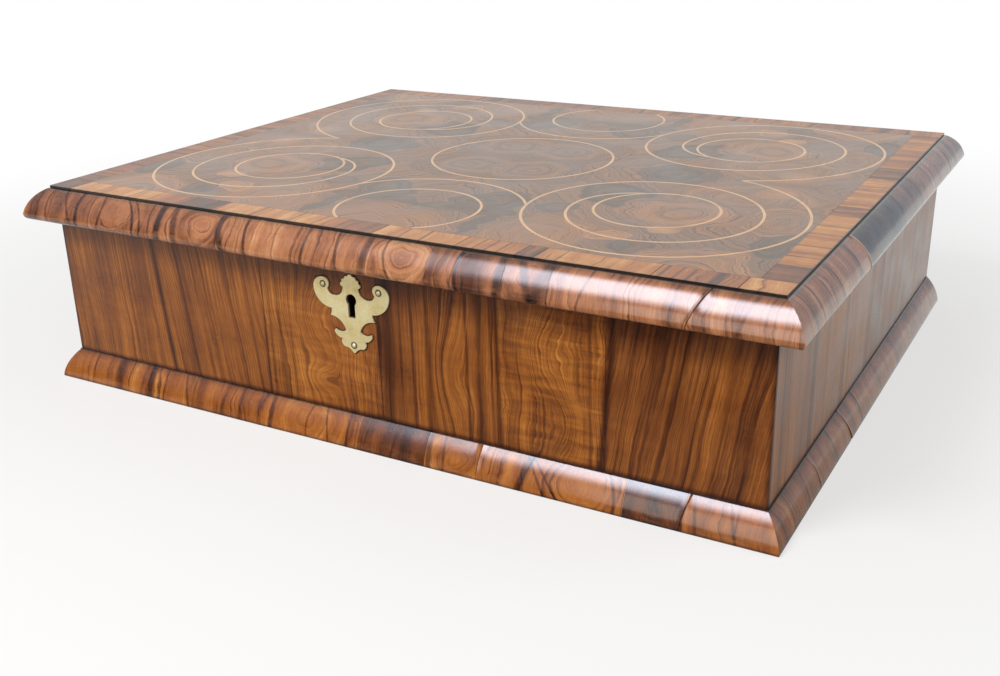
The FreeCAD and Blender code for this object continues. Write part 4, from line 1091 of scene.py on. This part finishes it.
def make_world():
    """White to the camera, dim to matt surfaces and, in reflections, a room with a window over the front."""
    scene.world = bpy.data.worlds.new("surround")
    t = Tree(scene.world)
    t.nodes.clear()
    x, y, z = t.split(t.add("TexCoord", {}, "Generated"))
    level = y.smooth(-0.35, 0.5, 0.06, 0.95).math("MAXIMUM", z.smooth(0.05, 0.45, 0.0, 0.5))
    tint = t.blend((1.0, 0.985, 0.96), (0.50, 0.58, 0.66), x.smooth(-0.15, 0.3))
    tint = t.blend(tint, (0.92, 0.97, 1.12), y.smooth(0.1, -0.3))
    room = t.add("Background", {"Color": tint, "Strength": level})
    strength = WINDOW_STRENGTH
    for axis, out_at, in_at in WINDOW_EDGES:
        strength = {"X": x, "Y": y, "Z": z}[axis].smooth(out_at, in_at) * strength
    window = t.add("Background", {"Color": WINDOW_COLOUR, "Strength": strength})
    mirrored = t.add("AddShader", {0: room, 1: window})
    ambient = t.add("Background", {"Color": (1.0, 0.98, 0.95, 1), "Strength": 0.36})
    unseen = t.mix(ambient, mirrored, t.add("LightPath", {}, "Is Glossy Ray"))
    white = t.add("Background", {"Color": (1, 1, 1, 1)})
    through = t.add("LightPath", {}, "Is Transmission Ray")
    seen = t.add("LightPath", {}, "Is Camera Ray").math("MAXIMUM", through)
    t.surface("World", t.mix(unseen, white, seen))


def make_floor():
    """A wide floor, white far off, clear from below, and brighter behind and at the left in reflections.
    The box covers an opening in it that lets light reach the underside."""
    far, x = FLOOR_HALF, CASE_HALF_X * MM + OPENING_OUT
    front, back = CASE_FRONT * MM - OPENING_OUT, CASE_BACK * MM - OPENING_IN
    outer = [(-far, -far, 0), (far, -far, 0), (far, far, 0), (-far, far, 0)]
    inner = [(-x, front, 0), (x, front, 0), (x, back, 0), (-x, back, 0)]
    data = bpy.data.meshes.new("floor")
    data.from_pydata(outer + inner, [], [(0, 1, 5, 4), (1, 2, 6, 5), (2, 3, 7, 6), (3, 0, 4, 7)])
    floor = bpy.data.objects.new("floor", data)
    floor.location.z = -FLOOR_DROP
    scene.collection.objects.link(floor)
    material = bpy.data.materials.new("floor")
    t = Tree(material)
    t.nodes.clear()
    across, along = t.split(t.add("TexCoord", {}, "Object"))[:2]
    white_share = distance(across, along).smooth(0.3, 0.95, 0.6, 1.0)
    matt = t.add("BsdfDiffuse", {"Color": (0.8, 0.8, 0.8, 1)})
    white = t.add("Emission", {})
    shown = t.mix(matt, white, white_share * t.add("LightPath", {}, "Is Camera Ray"))
    behind = along.smooth(-0.42, 0.3, 0.0, 0.85, "LINEAR")
    left = across.smooth(0.05, -0.5, 0.0, 0.8, "LINEAR")
    glow = {"Color": (0.95, 1.0, 1.0, 1), "Strength": behind.math("MAXIMUM", left)}
    mirrored = t.add("Emission", glow)
    above = t.mix(shown, mirrored, t.add("LightPath", {}, "Is Glossy Ray"))
    below = t.add("NewGeometry", {}, "Backfacing")
    t.surface("Material", t.mix(above, t.add("BsdfTransparent", {}), below))
    data.materials.append(material)


def make_lamp(name, place, target, size, power, colour):
    data = bpy.data.lights.new(name, "AREA")
    data.shape = "RECTANGLE"
    data.size, data.size_y = size
    data.energy = power
    data.color = colour
    lamp = bpy.data.objects.new(name, data)
    lamp.location = place
    lamp.rotation_mode = "QUATERNION"
    lamp.rotation_quaternion = (Vector(target) - Vector(place)).to_track_quat("-Z", "Y")
    scene.collection.objects.link(lamp)
    return lamp


def make_camera():
    azimuth, elevation, roll = (math.radians(angle) for angle in CAMERA_ANGLES)
    level = math.cos(elevation)
    back = Vector((math.sin(azimuth) * level, -math.cos(azimuth) * level, math.sin(elevation)))
    right = Vector((0, 0, 1)).cross(back).normalized()
    up = back.cross(right)
    across = math.cos(roll) * right + math.sin(roll) * up
    upward = -math.sin(roll) * right + math.cos(roll) * up
    data = bpy.data.cameras.new("camera")
    data.lens = CAMERA_LENS
    data.sensor_width = 36.0
    data.sensor_fit = "HORIZONTAL"
    data.clip_start = 0.01
    camera = bpy.data.objects.new("camera", data)
    turn = Matrix((across, upward, back)).transposed().to_4x4()
    camera.matrix_world = Matrix.Translation(CAMERA_PLACE) @ turn
    scene.collection.objects.link(camera)
    scene.camera = camera


make_world()
make_floor()
for lamp in LAMPS:
    make_lamp(*lamp).visible_glossy = lamp[0] != "softbox"
make_camera()

bpy.context.view_layer.update()
